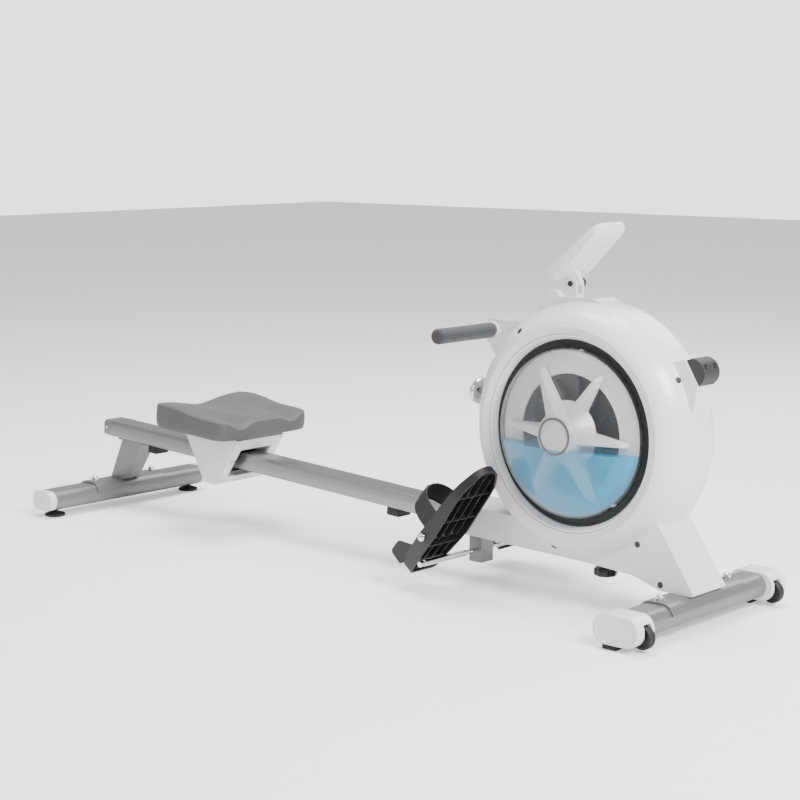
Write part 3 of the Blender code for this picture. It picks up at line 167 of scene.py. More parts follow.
class RowerColours(bpy.types.PropertyGroup):
    """Colours of the machine's finishes."""

    shell: colour("Shell", "White housing plastic", (0.72, 0.715, 0.735))
    trim: colour("Trim", "Ring round the tank's window", (0.78, 0.78, 0.76))
    paint: colour("Paint", "Silver-grey paint of the foot bars", (0.205, 0.206, 0.203))
    rail: colour("Rail", "Brushed aluminium of the rail", (0.33, 0.33, 0.318))
    seat: colour("Seat", "Cover of the seat pad", (0.066, 0.065, 0.069))
    black: colour("Black", "Black moulded plastic", (0.006, 0.006, 0.007))
    rubber: colour("Rubber", "Black rubber", (0.007, 0.007, 0.008))
    grip: colour("Grip", "Foam of the grips", (0.021, 0.023, 0.026))
    bumper: colour("Bumper", "Dark grey rubber of the bumper", (0.024, 0.024, 0.026))
    water: colour("Water", "Tinted water in the tank", (0.0, 0.47, 0.80))
    # the cavity colour is near black: the well's grey with painted shade for the inside of the tank
    cavity: colour("Cavity", "Inside of the tank's cup", (0.085, 0.086, 0.09))
    badge: colour("Badge", "Plain ring on the paddle wheel's hub", (0.11, 0.11, 0.115))


# ---- surface patterns
def pattern_group(name, build):
    """A node group that turns a position and a colour into a varied colour, a gloss mask and a height."""
    found = bpy.data.node_groups.get(name)
    if found:
        return found
    group = bpy.data.node_groups.new(name, "ShaderNodeTree")
    sockets = (("Vector", "INPUT", "NodeSocketVector"), ("Colour", "INPUT", "NodeSocketColor"),
               ("Shade", "INPUT", "NodeSocketFloat"), ("Scale", "INPUT", "NodeSocketFloat"),
               ("Colour", "OUTPUT", "NodeSocketColor"), ("Gloss", "OUTPUT", "NodeSocketFloat"),
               ("Height", "OUTPUT", "NodeSocketFloat"))
    for label, way, kind in sockets:
        group.interface.new_socket(label, in_out=way, socket_type=kind)
    build(group, group.nodes.new("NodeGroupInput"), group.nodes.new("NodeGroupOutput"))
    return group


def noise(tree, vector, scale, detail, stretch=None):
    """A noise texture on a position, with its scale given as a number or taken from a socket."""
    if stretch:
        mapping = tree.nodes.new("ShaderNodeMapping")
        mapping.inputs["Scale"].default_value = stretch
        tree.links.new(vector, mapping.inputs["Vector"])
        vector = mapping.outputs["Vector"]
    texture = tree.nodes.new("ShaderNodeTexNoise")
    texture.inputs["Detail"].default_value = detail
    tree.links.new(vector, texture.inputs["Vector"])
    if isinstance(scale, float):
        texture.inputs["Scale"].default_value = scale
    else:
        tree.links.new(scale, texture.inputs["Scale"])
    return texture.outputs["Fac"]


def calculate(tree, operation, one, two):
    """A math node on two sockets or numbers."""
    node = tree.nodes.new("ShaderNodeMath")
    node.operation = operation
    for slot, value in ((0, one), (1, two)):
        if isinstance(value, (int, float)):
            node.inputs[slot].default_value = value
        else:
            tree.links.new(value, node.inputs[slot])
    return node.outputs["Value"]


def preset(node, values):
    """Sets a node's input sockets by their names."""
    for socket, value in values.items():
        node.inputs[socket].default_value = value


def multiplied(tree, factor, base, tint):
    """A colour multiplied by a tint, as far as a factor says."""
    mix = tree.nodes.new("ShaderNodeMix")
    mix.data_type = "RGBA"
    mix.blend_type = "MULTIPLY"
    mix.inputs["B"].default_value = (*tint, 1.0)
    tree.links.new(factor, mix.inputs["Factor"])
    tree.links.new(base, mix.inputs["A"])
    return mix.outputs["Result"]


def answer(tree, source, target, mask, gloss, height):
    """Hands out a pattern's height, gloss and colour, darkened by its shade where the mask is high."""
    amount = calculate(tree, "MULTIPLY", mask, source.outputs["Shade"])
    dark = multiplied(tree, amount, source.outputs["Colour"], (0.35, 0.35, 0.37))
    for label, value in (("Colour", dark), ("Gloss", gloss), ("Height", height)):
        tree.links.new(value, target.inputs[label])


def build_moulded(tree, source, target):
    """Moulded plastic: a fine spark-eroded grain with faint broad clouding."""
    vector = source.outputs["Vector"]
    broad = noise(tree, vector, 7.0, 4.0)
    fine = noise(tree, vector, source.outputs["Scale"], 2.0)
    answer(tree, source, target, broad, broad, fine)


def build_drawn(tree, source, target):
    """Drawn or brushed metal: fine lines that run along x."""
    vector = source.outputs["Vector"]
    lines = noise(tree, vector, 1.0, 6.0, (3.0, 900.0, 900.0))
    long = noise(tree, vector, 1.0, 2.0, (1.2, 60.0, 60.0))
    answer(tree, source, target, long, lines, calculate(tree, "MULTIPLY", lines, long))


def build_hide(tree, source, target):
    """Soft cover or foam: small rounded cells with fine creases between them."""
    vector = source.outputs["Vector"]
    cells = tree.nodes.new("ShaderNodeTexVoronoi")
    cells.feature = "SMOOTH_F1"
    tree.links.new(vector, cells.inputs["Vector"])
    tree.links.new(source.outputs["Scale"], cells.inputs["Scale"])
    broad = noise(tree, vector, 14.0, 5.0)
    fine = calculate(tree, "MULTIPLY", noise(tree, vector, 1500.0, 2.0), 0.35)
    answer(tree, source, target, broad, broad, calculate(tree, "ADD", cells.outputs["Distance"], fine))


def build_woven(tree, source, target):
    """Webbing: ribs along and across the strap."""
    parts = []
    for direction in ("X", "Y"):
        wave = tree.nodes.new("ShaderNodeTexWave")
        wave.bands_direction = direction
        tree.links.new(source.outputs["Vector"], wave.inputs["Vector"])
        tree.links.new(source.outputs["Scale"], wave.inputs["Scale"])
        parts.append(wave.outputs["Fac"])
    weave = calculate(tree, "MULTIPLY", *parts)
    answer(tree, source, target, weave, weave, weave)


def build_flaked(tree, source, target):
    """Metallic paint: fine flakes under a slightly uneven coat."""
    vector = source.outputs["Vector"]
    flakes = noise(tree, vector, source.outputs["Scale"], 1.0)
    sag = noise(tree, vector, 40.0, 2.0)
    answer(tree, source, target, flakes, sag, sag)


PATTERNS = {"moulded": build_moulded, "drawn": build_drawn, "hide": build_hide, "woven": build_woven,
            "flaked": build_flaked}


def fresh_material(name, colour_seen):
    """A new node material and its tree, its shader and an Object coordinate."""
    made = bpy.data.materials.new(name)
    made.use_nodes = True
    made.diffuse_color = colour_seen
    tree = made.node_tree
    return made, tree, tree.nodes["Principled BSDF"], tree.nodes.new("ShaderNodeTexCoord").outputs["Object"]


def finish_of(name, base, roughness, pattern, scale, depth, shade, spread, strength, metallic=0.0, coat=0.0,
              sheen=0.0, turn=(0.0, 0.0, 0.0), tint=None, level=0.0):
    """One named material: a patterned Principled surface, tinted below a level where it stands in water."""
    found = bpy.data.materials.get(name)
    if found:
        return found
    made, tree, shader, place = fresh_material(name, (*base, 1.0))
    preset(shader, {"Metallic": metallic, "Coat Weight": coat, "Coat Roughness": 0.08, "Sheen Weight": sheen})
    mapping = tree.nodes.new("ShaderNodeMapping")
    preset(mapping, {"Rotation": turn})
    surface = tree.nodes.new("ShaderNodeGroup")
    surface.node_tree = pattern_group(pattern, PATTERNS[pattern])
    preset(surface, {"Colour": (*base, 1.0), "Shade": shade, "Scale": scale})
    gloss = tree.nodes.new("ShaderNodeMapRange")
    preset(gloss, {"From Min": 0.25, "From Max": 0.75, "To Min": max(0.02, roughness - spread),
                   "To Max": roughness + spread})
    bump = tree.nodes.new("ShaderNodeBump")
    preset(bump, {"Strength": strength, "Distance": depth})
    top = surface.outputs["Colour"]
    if tint:
        height = tree.nodes.new("ShaderNodeSeparateXYZ")
        tree.links.new(place, height.inputs["Vector"])
        top = multiplied(tree, calculate(tree, "LESS_THAN", height.outputs["Z"], level), top, tint)
    for start, end in ((place, mapping.inputs["Vector"]),
                       (mapping.outputs["Vector"], surface.inputs["Vector"]),
                       (top, shader.inputs["Base Color"]),
                       (surface.outputs["Gloss"], gloss.inputs["Value"]),
                       (gloss.outputs["Result"], shader.inputs["Roughness"]),
                       (surface.outputs["Height"], bump.inputs["Height"]),
                       (bump.outputs["Normal"], shader.inputs["Normal"])):
        tree.links.new(start, end)
    return made


def clear_finish(name, base, low, high, roughness, coat):
    """A see-through finish that turns solid towards its edges, with a faint ripple."""
    found = bpy.data.materials.get(name)
    if found:
        return found
    made, tree, shader, place = fresh_material(name, (*base, low))
    preset(shader, {"Base Color": (*base, 1.0), "Roughness": roughness, "Coat Weight": coat,
                    "Coat Roughness": 0.03})
    edge = tree.nodes.new("ShaderNodeLayerWeight")
    preset(edge, {"Blend": 0.22})
    solid = tree.nodes.new("ShaderNodeMapRange")
    preset(solid, {"From Min": 0.05, "To Min": low, "To Max": high})
    ripple = tree.nodes.new("ShaderNodeBump")
    preset(ripple, {"Strength": 0.05, "Distance": 0.001})
    tree.links.new(edge.outputs["Facing"], solid.inputs["Value"])
    tree.links.new(solid.outputs["Result"], shader.inputs["Alpha"])
    tree.links.new(noise(tree, place, 18.0, 2.0), ripple.inputs["Height"])
    tree.links.new(ripple.outputs["Normal"], shader.inputs["Normal"])
    return made


def finishes(context):
    """Every finish of the machine, made from the colour properties."""
    hue = context.scene.rower_colours
    wet = tuple(min(1.0, part * 1.1 + 0.07) for part in hue.water)
    level = AXLE.z - context.scene.rower_sizes.water_drop
    wetted = {"tint": wet, "level": level}
    crosswise = (0.0, 0.0, math.radians(90))
    # name, material, colour, roughness, pattern, its scale, depth, shade and roughness spread, bump, the rest
    rows = (
        ("shell", "shell_plastic", hue.shell, 0.3, "moulded", 900.0, 0.00012, 0.03, 0.03, 0.15,
         {"coat": 0.25}),
        ("trim", "trim_plastic", hue.trim, 0.26, "moulded", 700.0, 0.0001, 0.03, 0.06, 0.12, {"coat": 0.3}),
        ("paint", "silver_paint", hue.paint, 0.4, "flaked", 1800.0, 0.0002, 0.25, 0.05, 0.12,
         {"metallic": 0.55, "coat": 0.25}),
        ("rail", "brushed_rail", hue.rail, 0.33, "drawn", 1.0, 0.0001, 0.3, 0.08, 0.25,
         {"metallic": 0.9, "turn": (0.0, -RAIL_TILT, 0.0)}),
        ("seat", "seat_cover", hue.seat, 0.56, "hide", 620.0, 0.0005, 0.18, 0.06, 0.45, {"sheen": 0.12}),
        ("black", "black_plastic", hue.black, 0.42, "moulded", 1300.0, 0.0002, 0.25, 0.08, 0.4, {}),
        ("rubber", "black_rubber", hue.rubber, 0.62, "moulded", 800.0, 0.0003, 0.3, 0.08, 0.4, {}),
        ("grip", "grip_foam", hue.grip, 0.8, "hide", 1100.0, 0.0006, 0.22, 0.08, 0.6, {"sheen": 0.25}),
        ("bumper", "grey_rubber", hue.bumper, 0.55, "moulded", 1000.0, 0.0003, 0.2, 0.08, 0.4, {}),
        ("chrome", "bright_chrome", (0.86, 0.86, 0.87), 0.09, "moulded", 200.0, 0.0001, 0.12, 0.04, 0.06,
         {"metallic": 1.0}),
        ("steel", "ground_steel", (0.60, 0.60, 0.61), 0.28, "drawn", 1.0, 0.0001, 0.2, 0.08, 0.25,
         {"metallic": 1.0, "turn": crosswise}),
        ("strap", "webbing", (0.02, 0.02, 0.022), 0.72, "woven", 260.0, 0.0006, 0.35, 0.08, 0.7,
         {"sheen": 0.3}),
        # the cup's inside: its grey darkened with painted shade, and tinted below the water
        ("cavity", "cup_inside_painted_shade", hue.cavity, 0.45, "moulded", 500.0, 0.0003, 0.35, 0.08, 0.3, wetted),
        ("badge", "badge_grey", hue.badge, 0.3, "drawn", 1.0, 0.0001, 0.15, 0.05, 0.35, {"metallic": 0.2}),
        ("screen", "display_window", (0.012, 0.013, 0.015), 0.1, "moulded", 300.0, 0.00005, 0.2, 0.03, 0.05,
         {"coat": 0.6}),
        ("tank_face", "tank_face", hue.shell, 0.32, "moulded", 900.0, 0.00012, 0.03, 0.03, 0.15, wetted),
        ("paddle", "paddle_plastic", hue.shell, 0.3, "moulded", 900.0, 0.00012, 0.05, 0.03, 0.15, {}),
        ("display", "display_grey", (0.22, 0.25, 0.23), 0.22, "moulded", 900.0, 0.00005, 0.15, 0.03, 0.35,
         {}))
    look = {key: finish_of(*row, **more) for key, *row, more in rows}
    look["glass"] = clear_finish("tank_clear", (0.30, 0.31, 0.32), 0.05, 0.90, 0.03, 0.6)
    look["water"] = clear_finish("tank_water", hue.water, 0.56, 0.74, 0.12, 0.0)
    return look


# ---- modelling helpers
def put(bm, name, finish, body, stands_for=(), sharp=35.0, edge=0.0):
    """Turns a bmesh into a finished piece that rides on a body."""
    bm.normal_update()
    mesh = bpy.data.meshes.new(name)
    bm.to_mesh(mesh)
    bm.free()
    mesh.materials.append(finish)
    obj = bpy.data.objects.new(name, mesh)
    bpy.context.scene.collection.objects.link(obj)
    mesh.shade_smooth()
    mesh.set_sharp_from_angle(angle=math.radians(sharp))
    if edge:
        soften = obj.modifiers.new("soft_edges", "BEVEL")
        soften.width = edge
        soften.segments = 2
        soften.limit_method = "ANGLE"
        soften.angle_limit = math.radians(sharp)
        soften.harden_normals = True
    if body:
        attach(obj, body)
    if stands_for:
        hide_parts(*stands_for)
    return obj


def merged(node):
    """A CAD node's mesh with its loose triangles merged and its flat faces made whole."""
    bm = bmesh.new()
    bm.from_mesh(NODES[node].data)
    bmesh.ops.remove_doubles(bm, verts=bm.verts, dist=MERGE)
    bmesh.ops.dissolve_limit(bm, angle_limit=math.radians(0.5), verts=bm.verts, edges=bm.edges)
    return bm


def stand_in(node, bm, name, finish, sharp=35.0, edge=0.0):
    """A modelled piece that takes the place of one CAD node and rides on its body."""
    return put(bm, name, finish, body_of(node), (node,), sharp, edge)


def refine(node, finish, edge=0.0007, sharp=32.0):
    """The finished surface of a rigid node: the same shape with softened edges and its own finish."""
    return stand_in(node, merged(node), node + "_finished", finish, sharp, edge)


def turned(profile, place, steps=64, closed=False):
    """A turned shape from (radius, height) points, about z, then set in its place."""
    bm = bmesh.new()
    points = [bm.verts.new((max(radius, 0.0), 0.0, height)) for radius, height in profile]
    edges = [bm.edges.new(pair) for pair in zip(points, points[1:])]
    if closed:
        edges.append(bm.edges.new((points[-1], points[0])))
    bmesh.ops.spin(bm, geom=points + edges, cent=(0, 0, 0), axis=(0, 0, 1), angle=math.tau, steps=steps,
                   use_merge=True)
    bmesh.ops.remove_doubles(bm, verts=bm.verts, dist=MERGE)
    bmesh.ops.recalc_face_normals(bm, faces=bm.faces)
    bmesh.ops.transform(bm, matrix=place, verts=bm.verts)
    return bm


def block(bm, size, place, soft=0.0, segments=2):
    """Adds a block of a size, centred in its place, with all its edges rounded."""
    fresh = bmesh.ops.create_cube(bm, size=1.0)["verts"]
    bmesh.ops.scale(bm, vec=size, verts=fresh)
    if soft:
        edges = list({edge for vert in fresh for edge in vert.link_edges})
        result = bmesh.ops.bevel(bm, geom=edges, offset=soft, segments=segments, profile=0.5, affect="EDGES",
                                 material=-1)
        fresh = list({vert for face in result["faces"] for vert in face.verts} |
                     {vert for vert in fresh if vert.is_valid})
    bmesh.ops.transform(bm, matrix=place, verts=fresh)


def absorb(bm, other):
    """Moves another bmesh's shape into this one."""
    mesh = bpy.data.meshes.new("loose")
    other.to_mesh(mesh)
    other.free()
    bm.from_mesh(mesh)
    bpy.data.meshes.remove(mesh)


def skinned(bm, rings):
    """Closes a row of rings of vertices into one skin with flat ends."""
    edges = [[bm.edges.new(pair) for pair in zip(ring, ring[1:] + ring[:1])] for ring in rings]
    for before, after in zip(edges, edges[1:]):
        bmesh.ops.bridge_loops(bm, edges=before + after)
    for ring in (rings[0], rings[-1]):
        bmesh.ops.contextual_create(bm, geom=ring)
    bmesh.ops.recalc_face_normals(bm, faces=bm.faces)


def facing(point, normal):
    """A frame at a point whose z is the surface's normal."""
    return at(*point) @ Vector(normal).to_track_quat("Z", "Y").to_matrix().to_4x4()


def surface_of(node):
    """A search tree over a CAD node's surface."""
    bm = bmesh.new()
    bm.from_mesh(NODES[node].data)
    tree = BVHTree.FromBMesh(bm)
    bm.free()
    return tree


def pressed(surface, start, direction):
    """The frame where a ray meets a surface, with z along the surface's normal."""
    point, normal = surface.ray_cast(start, direction)[:2]
    if point is None:
        raise RuntimeError("a fitting misses its surface")
    return facing(point, normal)


def dome_nut(place, radius):
    """A washer, a hexagon and a domed cap on one bolt."""
    bm = turned([(0.0, 0.0), (radius * 1.45, 0.0), (radius * 1.45, radius * 0.16), (0.0, radius * 0.16)],
                place, 32)
    hexagon = bmesh.new()
    bmesh.ops.create_cone(hexagon, cap_ends=True, segments=6, radius1=radius, radius2=radius,
                          depth=radius * 0.8, matrix=place @ at(0, 0, radius * 0.56))
    absorb(bm, hexagon)
    rise = radius * 0.96
    dome = [(0.0, rise - 0.0006)]
    dome += [(radius * 0.82 * math.cos(math.pi / 2 * k / 6),
              rise + radius * 0.62 * math.sin(math.pi / 2 * k / 6))
             for k in range(7)]
    absorb(bm, turned(dome, place, 24))
    return bm


def button_screw(place, radius):
    """A low round screw head with a socket."""
    low = radius * 0.45
    return turned([(0.0, -radius * 0.2), (radius, -radius * 0.2), (radius, low * 0.3), (radius * 0.8, low),
                   (radius * 0.42, low), (radius * 0.38, low * 0.9), (radius * 0.38, low * 0.1),
                   (0.0, low * 0.1)], place, 24)


# ---- stage
FLOOR_HALF = 14.0
FLOOR_DROP = 0.0004
FLOOR_GLOW = 0.45
LIGHTING, SKY_SEEN = 0.60, 2.4
LAMPS = (("key_light", (4.2, -0.9, 3.2), (0.3, 0.0, 0.2), 430.0, 1.6),
         ("fill_light", (-1.8, -4.0, 2.2), (0.3, 0.0, 0.3), 36.0, 2.4),
         ("rim_light", (0.2, 3.6, 3.6), (0.3, 0.0, 0.3), 90.0, 2.4),
         ("top_light", (-0.4, 0.3, 4.4), (0.0, 0.0, 0.0), 260.0, 2.4))
CAMERA_OFFSET = Vector((2.231, -3.039, 0.624))
CAMERA_TURN = (81.45, 0.0, 42.36)
CAMERA_LENS = 82.6


class PieceGroup:
    """What the piece operators share: the finishes and the sizes are read once, then the pieces are made."""

    def execute(self, context):
        self.make(finishes(context), context.scene.rower_sizes)
        return {"FINISHED"}


def seen_as(tree, socket, otherwise, seen):
    """Gives a socket one value for the camera and another for the light."""
    path = tree.nodes.new("ShaderNodeLightPath")
    share = tree.nodes.new("ShaderNodeMapRange")
    preset(share, {"To Min": otherwise, "To Max": seen})
    tree.links.new(path.outputs["Is Camera Ray"], share.inputs["Value"])
    tree.links.new(share.outputs["Result"], socket)


class ROWER_OT_stage(bpy.types.Operator):
    """Makes the floor, the soft lights and the camera."""

    bl_idname = "rower.stage"
    bl_label = "Stage"

    def execute(self, context):
        bm = bmesh.new()
        bmesh.ops.create_grid(bm, x_segments=1, y_segments=1, size=FLOOR_HALF)
        bmesh.ops.translate(bm, vec=(0.0, 0.0, -FLOOR_DROP), verts=bm.verts)
        floor = finish_of("studio_floor", (0.86,) * 3, 0.62, "moulded", 60.0, 0.0001, 0.02, 0.06, 0.02)
        surface = floor.node_tree.nodes["Principled BSDF"]
        preset(surface, {"Emission Color": (1.0, 1.0, 1.0, 1.0)})
        seen_as(floor.node_tree, surface.inputs["Emission Strength"], 0.0, FLOOR_GLOW)
        put(bm, "floor", floor, None)
        world = bpy.data.worlds.new("studio")
        world.use_nodes = True
        context.scene.world = world
        sky = world.node_tree.nodes["Background"]
        preset(sky, {"Color": (1.0, 1.0, 1.0, 1.0)})
        seen_as(world.node_tree, sky.inputs["Strength"], LIGHTING, SKY_SEEN)
        for name, place, aim, power, size in LAMPS:
            lamp = bpy.data.lights.new(name, "AREA")
            lamp.energy = power
            lamp.size = size
            obj = bpy.data.objects.new(name, lamp)
            context.scene.collection.objects.link(obj)
            obj.location = place
            obj.rotation_mode = "QUATERNION"
            obj.rotation_quaternion = (Vector(aim) - Vector(place)).to_track_quat("-Z", "Y")
        lens = bpy.data.cameras.new("camera")
        lens.lens = CAMERA_LENS
        lens.sensor_width = 36.0
        camera = bpy.data.objects.new("camera", lens)
        context.scene.collection.objects.link(camera)
        camera.location = AXLE + CAMERA_OFFSET
        camera.rotation_euler = [math.radians(part) for part in CAMERA_TURN]
        context.scene.camera = camera
        return {"FINISHED"}


# ---- steel and plastic of the frame
def bolts(look, sizes):
    """The dome nuts on both saddles."""
    for label, bar, leg, inset in (("front", "front_foot_bar", "front_leg", 0.013),
                                   ("rear", "rear_foot_bar", "rear_leg", 0.020)):
        centre = middle(bar)
        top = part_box(bar)[1].z + 0.0044
        reach = span(leg).y / 2 - inset
        for side, sign in SIDES:
            place = at(centre.x, sign * reach, top)
            put(dome_nut(place, sizes.nut_radius), "%s_nut_%s" % (label, side), look["chrome"], body_of(bar),
                sharp=28.0)


def rail_fittings(look):
    """Small screws through the sides of the rail's end cap."""
    cap = middle("rail_end_cap")
    for side, sign in SIDES:
        point = Vector((cap.x, sign * (span("main_rail").y / 2 + 0.0002), cap.z))
        put(button_screw(facing(point, (0, sign, 0)), 0.0035), "end_cap_screw_" + side, look["steel"],
            "frame")


class ROWER_OT_frame_metal(PieceGroup, bpy.types.Operator):
    """Finishes the rail, the foot bars, the legs and their bolts."""

    bl_idname = "rower.frame_metal"
    bl_label = "Frame and bolts"

    def make(self, look, sizes):
        refine("main_rail", look["rail"], 0.0012)
        refine("rail_end_cap", look["paint"], 0.0010)
        for node in ("rear_leg", "rear_foot_bar", "front_foot_bar", "front_leg", "foot_bracket",
                     "seat_base_plate"):
            refine(node, look["paint"], 0.0010)
        for node in ("rear_rail_stop", "front_rail_stop", "front_pad_right", "front_pad_left"):
            refine(node, look["rubber"], 0.0016)
        for side, _ in SIDES:
            refine("rear_bar_cap_" + side, look["shell"], 0.0010)
        bolts(look, sizes)
        rail_fittings(look)


def levelling_foot(side, look):
    """A rubber disc on a threaded stem."""
    node = "levelling_foot_" + side
    centre = middle(node)
    radius = span(node).x / 2
    tall = span(node).z
    profile = [(0.0, 0.0), (radius - 0.002, 0.0), (radius - 0.0005, 0.0006), (radius, 0.002),
               (radius, 0.0052), (radius - 0.0015, 0.0068), (radius * 0.62, 0.0095), (radius * 0.5, 0.0098),
               (radius * 0.46, 0.0118), (0.0062, 0.0122)]
    for turn in range(4):
        base = 0.0124 + turn * (tall - 0.0128) / 4
        profile += [(0.0060, base), (0.0050, base + (tall - 0.0128) / 8)]
    profile += [(0.0060, tall), (0.0, tall)]
    bm = turned(profile, at(centre.x, centre.y, centre.z - tall / 2), 48)
    stand_in(node, bm, "foot_disc_" + side, look["rubber"])


def wheel(side, look):
    """A dished wheel with a raised hub."""
    node = "transport_wheel_" + side
    radius = span(node).x / 2
    half = 0.009
    outline = [(0.0, half + 0.0018), (0.0042, half + 0.0018), (0.0046, half + 0.0006),
               (0.0085, half + 0.0004), (0.0095, half - 0.0022), (radius * 0.68, half - 0.0026),
               (radius * 0.74, half - 0.0004), (radius * 0.9, half), (radius * 0.975, half - 0.0016),
               (radius, half - 0.004), (radius, 0.0012), (radius - 0.0009, 0.0)]
    outline += [(r, -h) for r, h in reversed(outline[:-1])]
    bm = turned(outline, at(*middle(node)) @ LYING_ACROSS, 56)
    stand_in(node, bm, "wheel_" + side, look["rubber"])


def front_cap(side, sign, look):
    """The oval end cap, with a shallow panel let into its end."""
    node = "front_cap_" + side
    bm = merged(node)
    ends = [face for face in bm.faces if face.normal.y * sign > 0.95]
    end = max(ends, key=lambda face: face.calc_area())
    bmesh.ops.inset_region(bm, faces=[end], thickness=0.007, depth=0.0, use_even_offset=True)
    bmesh.ops.inset_region(bm, faces=[end], thickness=0.0012, depth=-0.0020, use_even_offset=True)
    stand_in(node, bm, node + "_finished", look["shell"], 30.0, 0.0014)


class ROWER_OT_feet(PieceGroup, bpy.types.Operator):
    """Models the levelling feet, the transport wheels and the front caps."""

    bl_idname = "rower.feet"
    bl_label = "Feet, wheels and caps"

    def make(self, look, sizes):
        for side, sign in SIDES:
            levelling_foot(side, look)
            wheel(side, look)
            front_cap(side, sign, look)


# ---- housing
# the plugs' distances from the tank's axle and their directions in the side view, in degrees
PLUGS = ((0.240, 123.4), (0.2485, -100.0), (0.2630, -53.2), (0.3560, -53.0))
TRIM_WIDTH = 0.0117
SEAL_WIDTH = 0.0168
DIAL_RADIUS = 0.030


def window(side, place, look, sizes):
    """The rounded trim ring and the black seal inside it."""
    node = "trim_ring_" + side
    outer = span(node).x / 2
    low, high = reaches(node)
    inner = outer - TRIM_WIDTH
    sunk = high - sizes.window_depth
    profile = [(inner, low), (inner, sunk), (inner + 0.0008, sunk + 0.0012), (outer - 0.0052, high - 0.0016),
               (outer - 0.0036, high - 0.0003), (outer - 0.0020, high), (outer - 0.0007, high - 0.0004),
               (outer, high - 0.0018), (outer, low)]
    stand_in(node, turned(profile, place, 144, closed=True), "window_trim_" + side, look["trim"])
    node = "seal_ring_" + side
    outer = span(node).x / 2
    inner = outer - SEAL_WIDTH
    low = reaches(node)[0]
    face = sunk - 0.0006
    profile = [(inner, low), (inner, face - 0.0016), (inner + 0.0050, face - 0.0012),
               (inner + 0.0062, face - 0.0020), (outer - 0.0062, face - 0.0016),
               (outer - 0.0048, face - 0.0002), (outer - 0.0012, face), (outer, face - 0.0010), (outer, low)]
    stand_in(node, turned(profile, place, 144, closed=True), "window_seal_" + side, look["rubber"])


def plug(place, radius, dish=()):
    """A dark plug with a turned-down rim."""
    return turned([(0.0, -0.002), (radius, -0.002), (radius, 0.0003), (radius * 0.88, 0.0007), *dish,
                   (0.0, 0.0003)],
                  place, 28)


def side_plugs(side, sign, look, sizes):
    """Dark plugs pressed over the screws on each side."""
    surface = surface_of("housing_" + side)
    radius = sizes.plug_radius
    bm = bmesh.new()
    for distance, bearing in PLUGS:
        turn = math.radians(bearing)
        start = AXLE + Vector((distance * math.cos(turn), sign * 0.4, distance * math.sin(turn)))
        absorb(bm, plug(pressed(surface, start, Vector((0.0, -sign, 0.0))), radius, [(radius * 0.5, 0.0004)]))
    put(bm, "screw_plugs_" + side, look["black"], "frame")


def seam_plugs(look, sizes):
    """The plugs on the sloping front edge, by the bumper."""
    turn = math.radians(28.7)
    out = Vector((math.cos(turn), 0.0, math.sin(turn)))
    for side, sign in SIDES:
        start = AXLE + out * 0.5 + Vector((0.0, sign * 0.038, 0.0))
        put(plug(pressed(surface_of("housing_" + side), start, -out), sizes.plug_radius),
            "front_plug_" + side, look["black"], "frame")


def bumper(look):
    """The storage bumper and its two sunk screws."""
    node = "storage_bumper"
    refine(node, look["bumper"], 0.0022, 40.0)
    surface = surface_of(node)
    centre = middle(node)
    bm = bmesh.new()
    lean = Vector((0.857, 0.0, 0.515))
    for _, sign in SIDES:
        start = Vector((centre.x + 0.004, sign * 0.0155, centre.z + 0.006)) + lean * 0.2
        place = pressed(surface, start, -lean)
        ring = [(0.0025, -0.004), (0.0068, -0.004), (0.0068, 0.0002), (0.0060, 0.0005), (0.0052, 0.0002),
                (0.0050, -0.003), (0.0025, -0.003)]
        absorb(bm, turned(ring, place, 32, closed=True))
        absorb(bm, button_screw(place @ at(0.0, 0.0, -0.0008), 0.0056))
    put(bm, "bumper_screws", look["black"], "frame")


def knob(look):
    """The scalloped clamp knob under the housing."""
    node = "frame_knob"
    centre = middle(node)
    radius = span(node).x / 2
    tall = span(node).z
    bm = turned([(0.0, 0.0), (radius * 0.55, 0.0), (radius * 0.84, 0.0008), (radius * 0.93, 0.0030),
                 (radius * 0.96, 0.0060), (radius * 0.96, 0.0140), (radius * 0.90, 0.0172),
                 (radius * 0.6, 0.0184), (radius * 0.58, 0.0200), (radius * 0.52, 0.0255), (0.0052, 0.0275),
                 (0.0050, tall), (0.0, tall)], Matrix.Identity(4), 96)
    for vert in bm.verts:
        distance = math.hypot(vert.co.x, vert.co.y)
        if distance > radius * 0.7:
            turn = math.atan2(vert.co.y, vert.co.x)
            grow = 1.0 + 0.045 * math.cos(8 * turn)
            vert.co.x *= grow
            vert.co.y *= grow
    bmesh.ops.translate(bm, vec=(centre.x, centre.y, centre.z - tall / 2), verts=bm.verts)
    stand_in(node, bm, "clamp_knob", look["black"])


def dial(look):
    """The white round cap with a bright rim on the housing's rear edge."""
    place = facing(joint_point("dial_turn"), JOINTS["dial_turn"]["axis"])
    radius = DIAL_RADIUS
    cap = [(0.0, 0.0262), (radius * 0.58, 0.0268), (radius * 0.74, 0.0262), (radius * 0.84, 0.0238),
           (radius * 0.90, 0.0206), (radius * 0.90, 0.0120), (0.0, 0.0120)]
    stand_in("resistance_dial", turned(cap, place, 72), "dial_cap", look["shell"])
    rim = [(radius * 0.86, 0.0186), (radius * 0.92, 0.0190), (radius * 0.985, 0.0166), (radius, 0.0146),
           (radius, 0.0098), (radius * 0.985, 0.0091), (0.006, 0.0091), (0.006, 0.0121),
           (radius * 0.86, 0.0121)]
    put(turned(rim, place, 72, closed=True), "dial_rim", look["chrome"], body_of("resistance_dial"))


class ROWER_OT_housing(PieceGroup, bpy.types.Operator):
    """Finishes the two housing shells, the window trim, the plugs, the bumper and the knobs."""

    bl_idname = "rower.housing"
    bl_label = "Housing"

    def make(self, look, sizes):
        for side, sign in SIDES:
            refine("housing_" + side, look["shell"], 0.0011, 34.0)
            window(side, outward(sign), look, sizes)
            side_plugs(side, sign, look, sizes)
        seam_plugs(look, sizes)
        bumper(look)
        knob(look)
        dial(look)


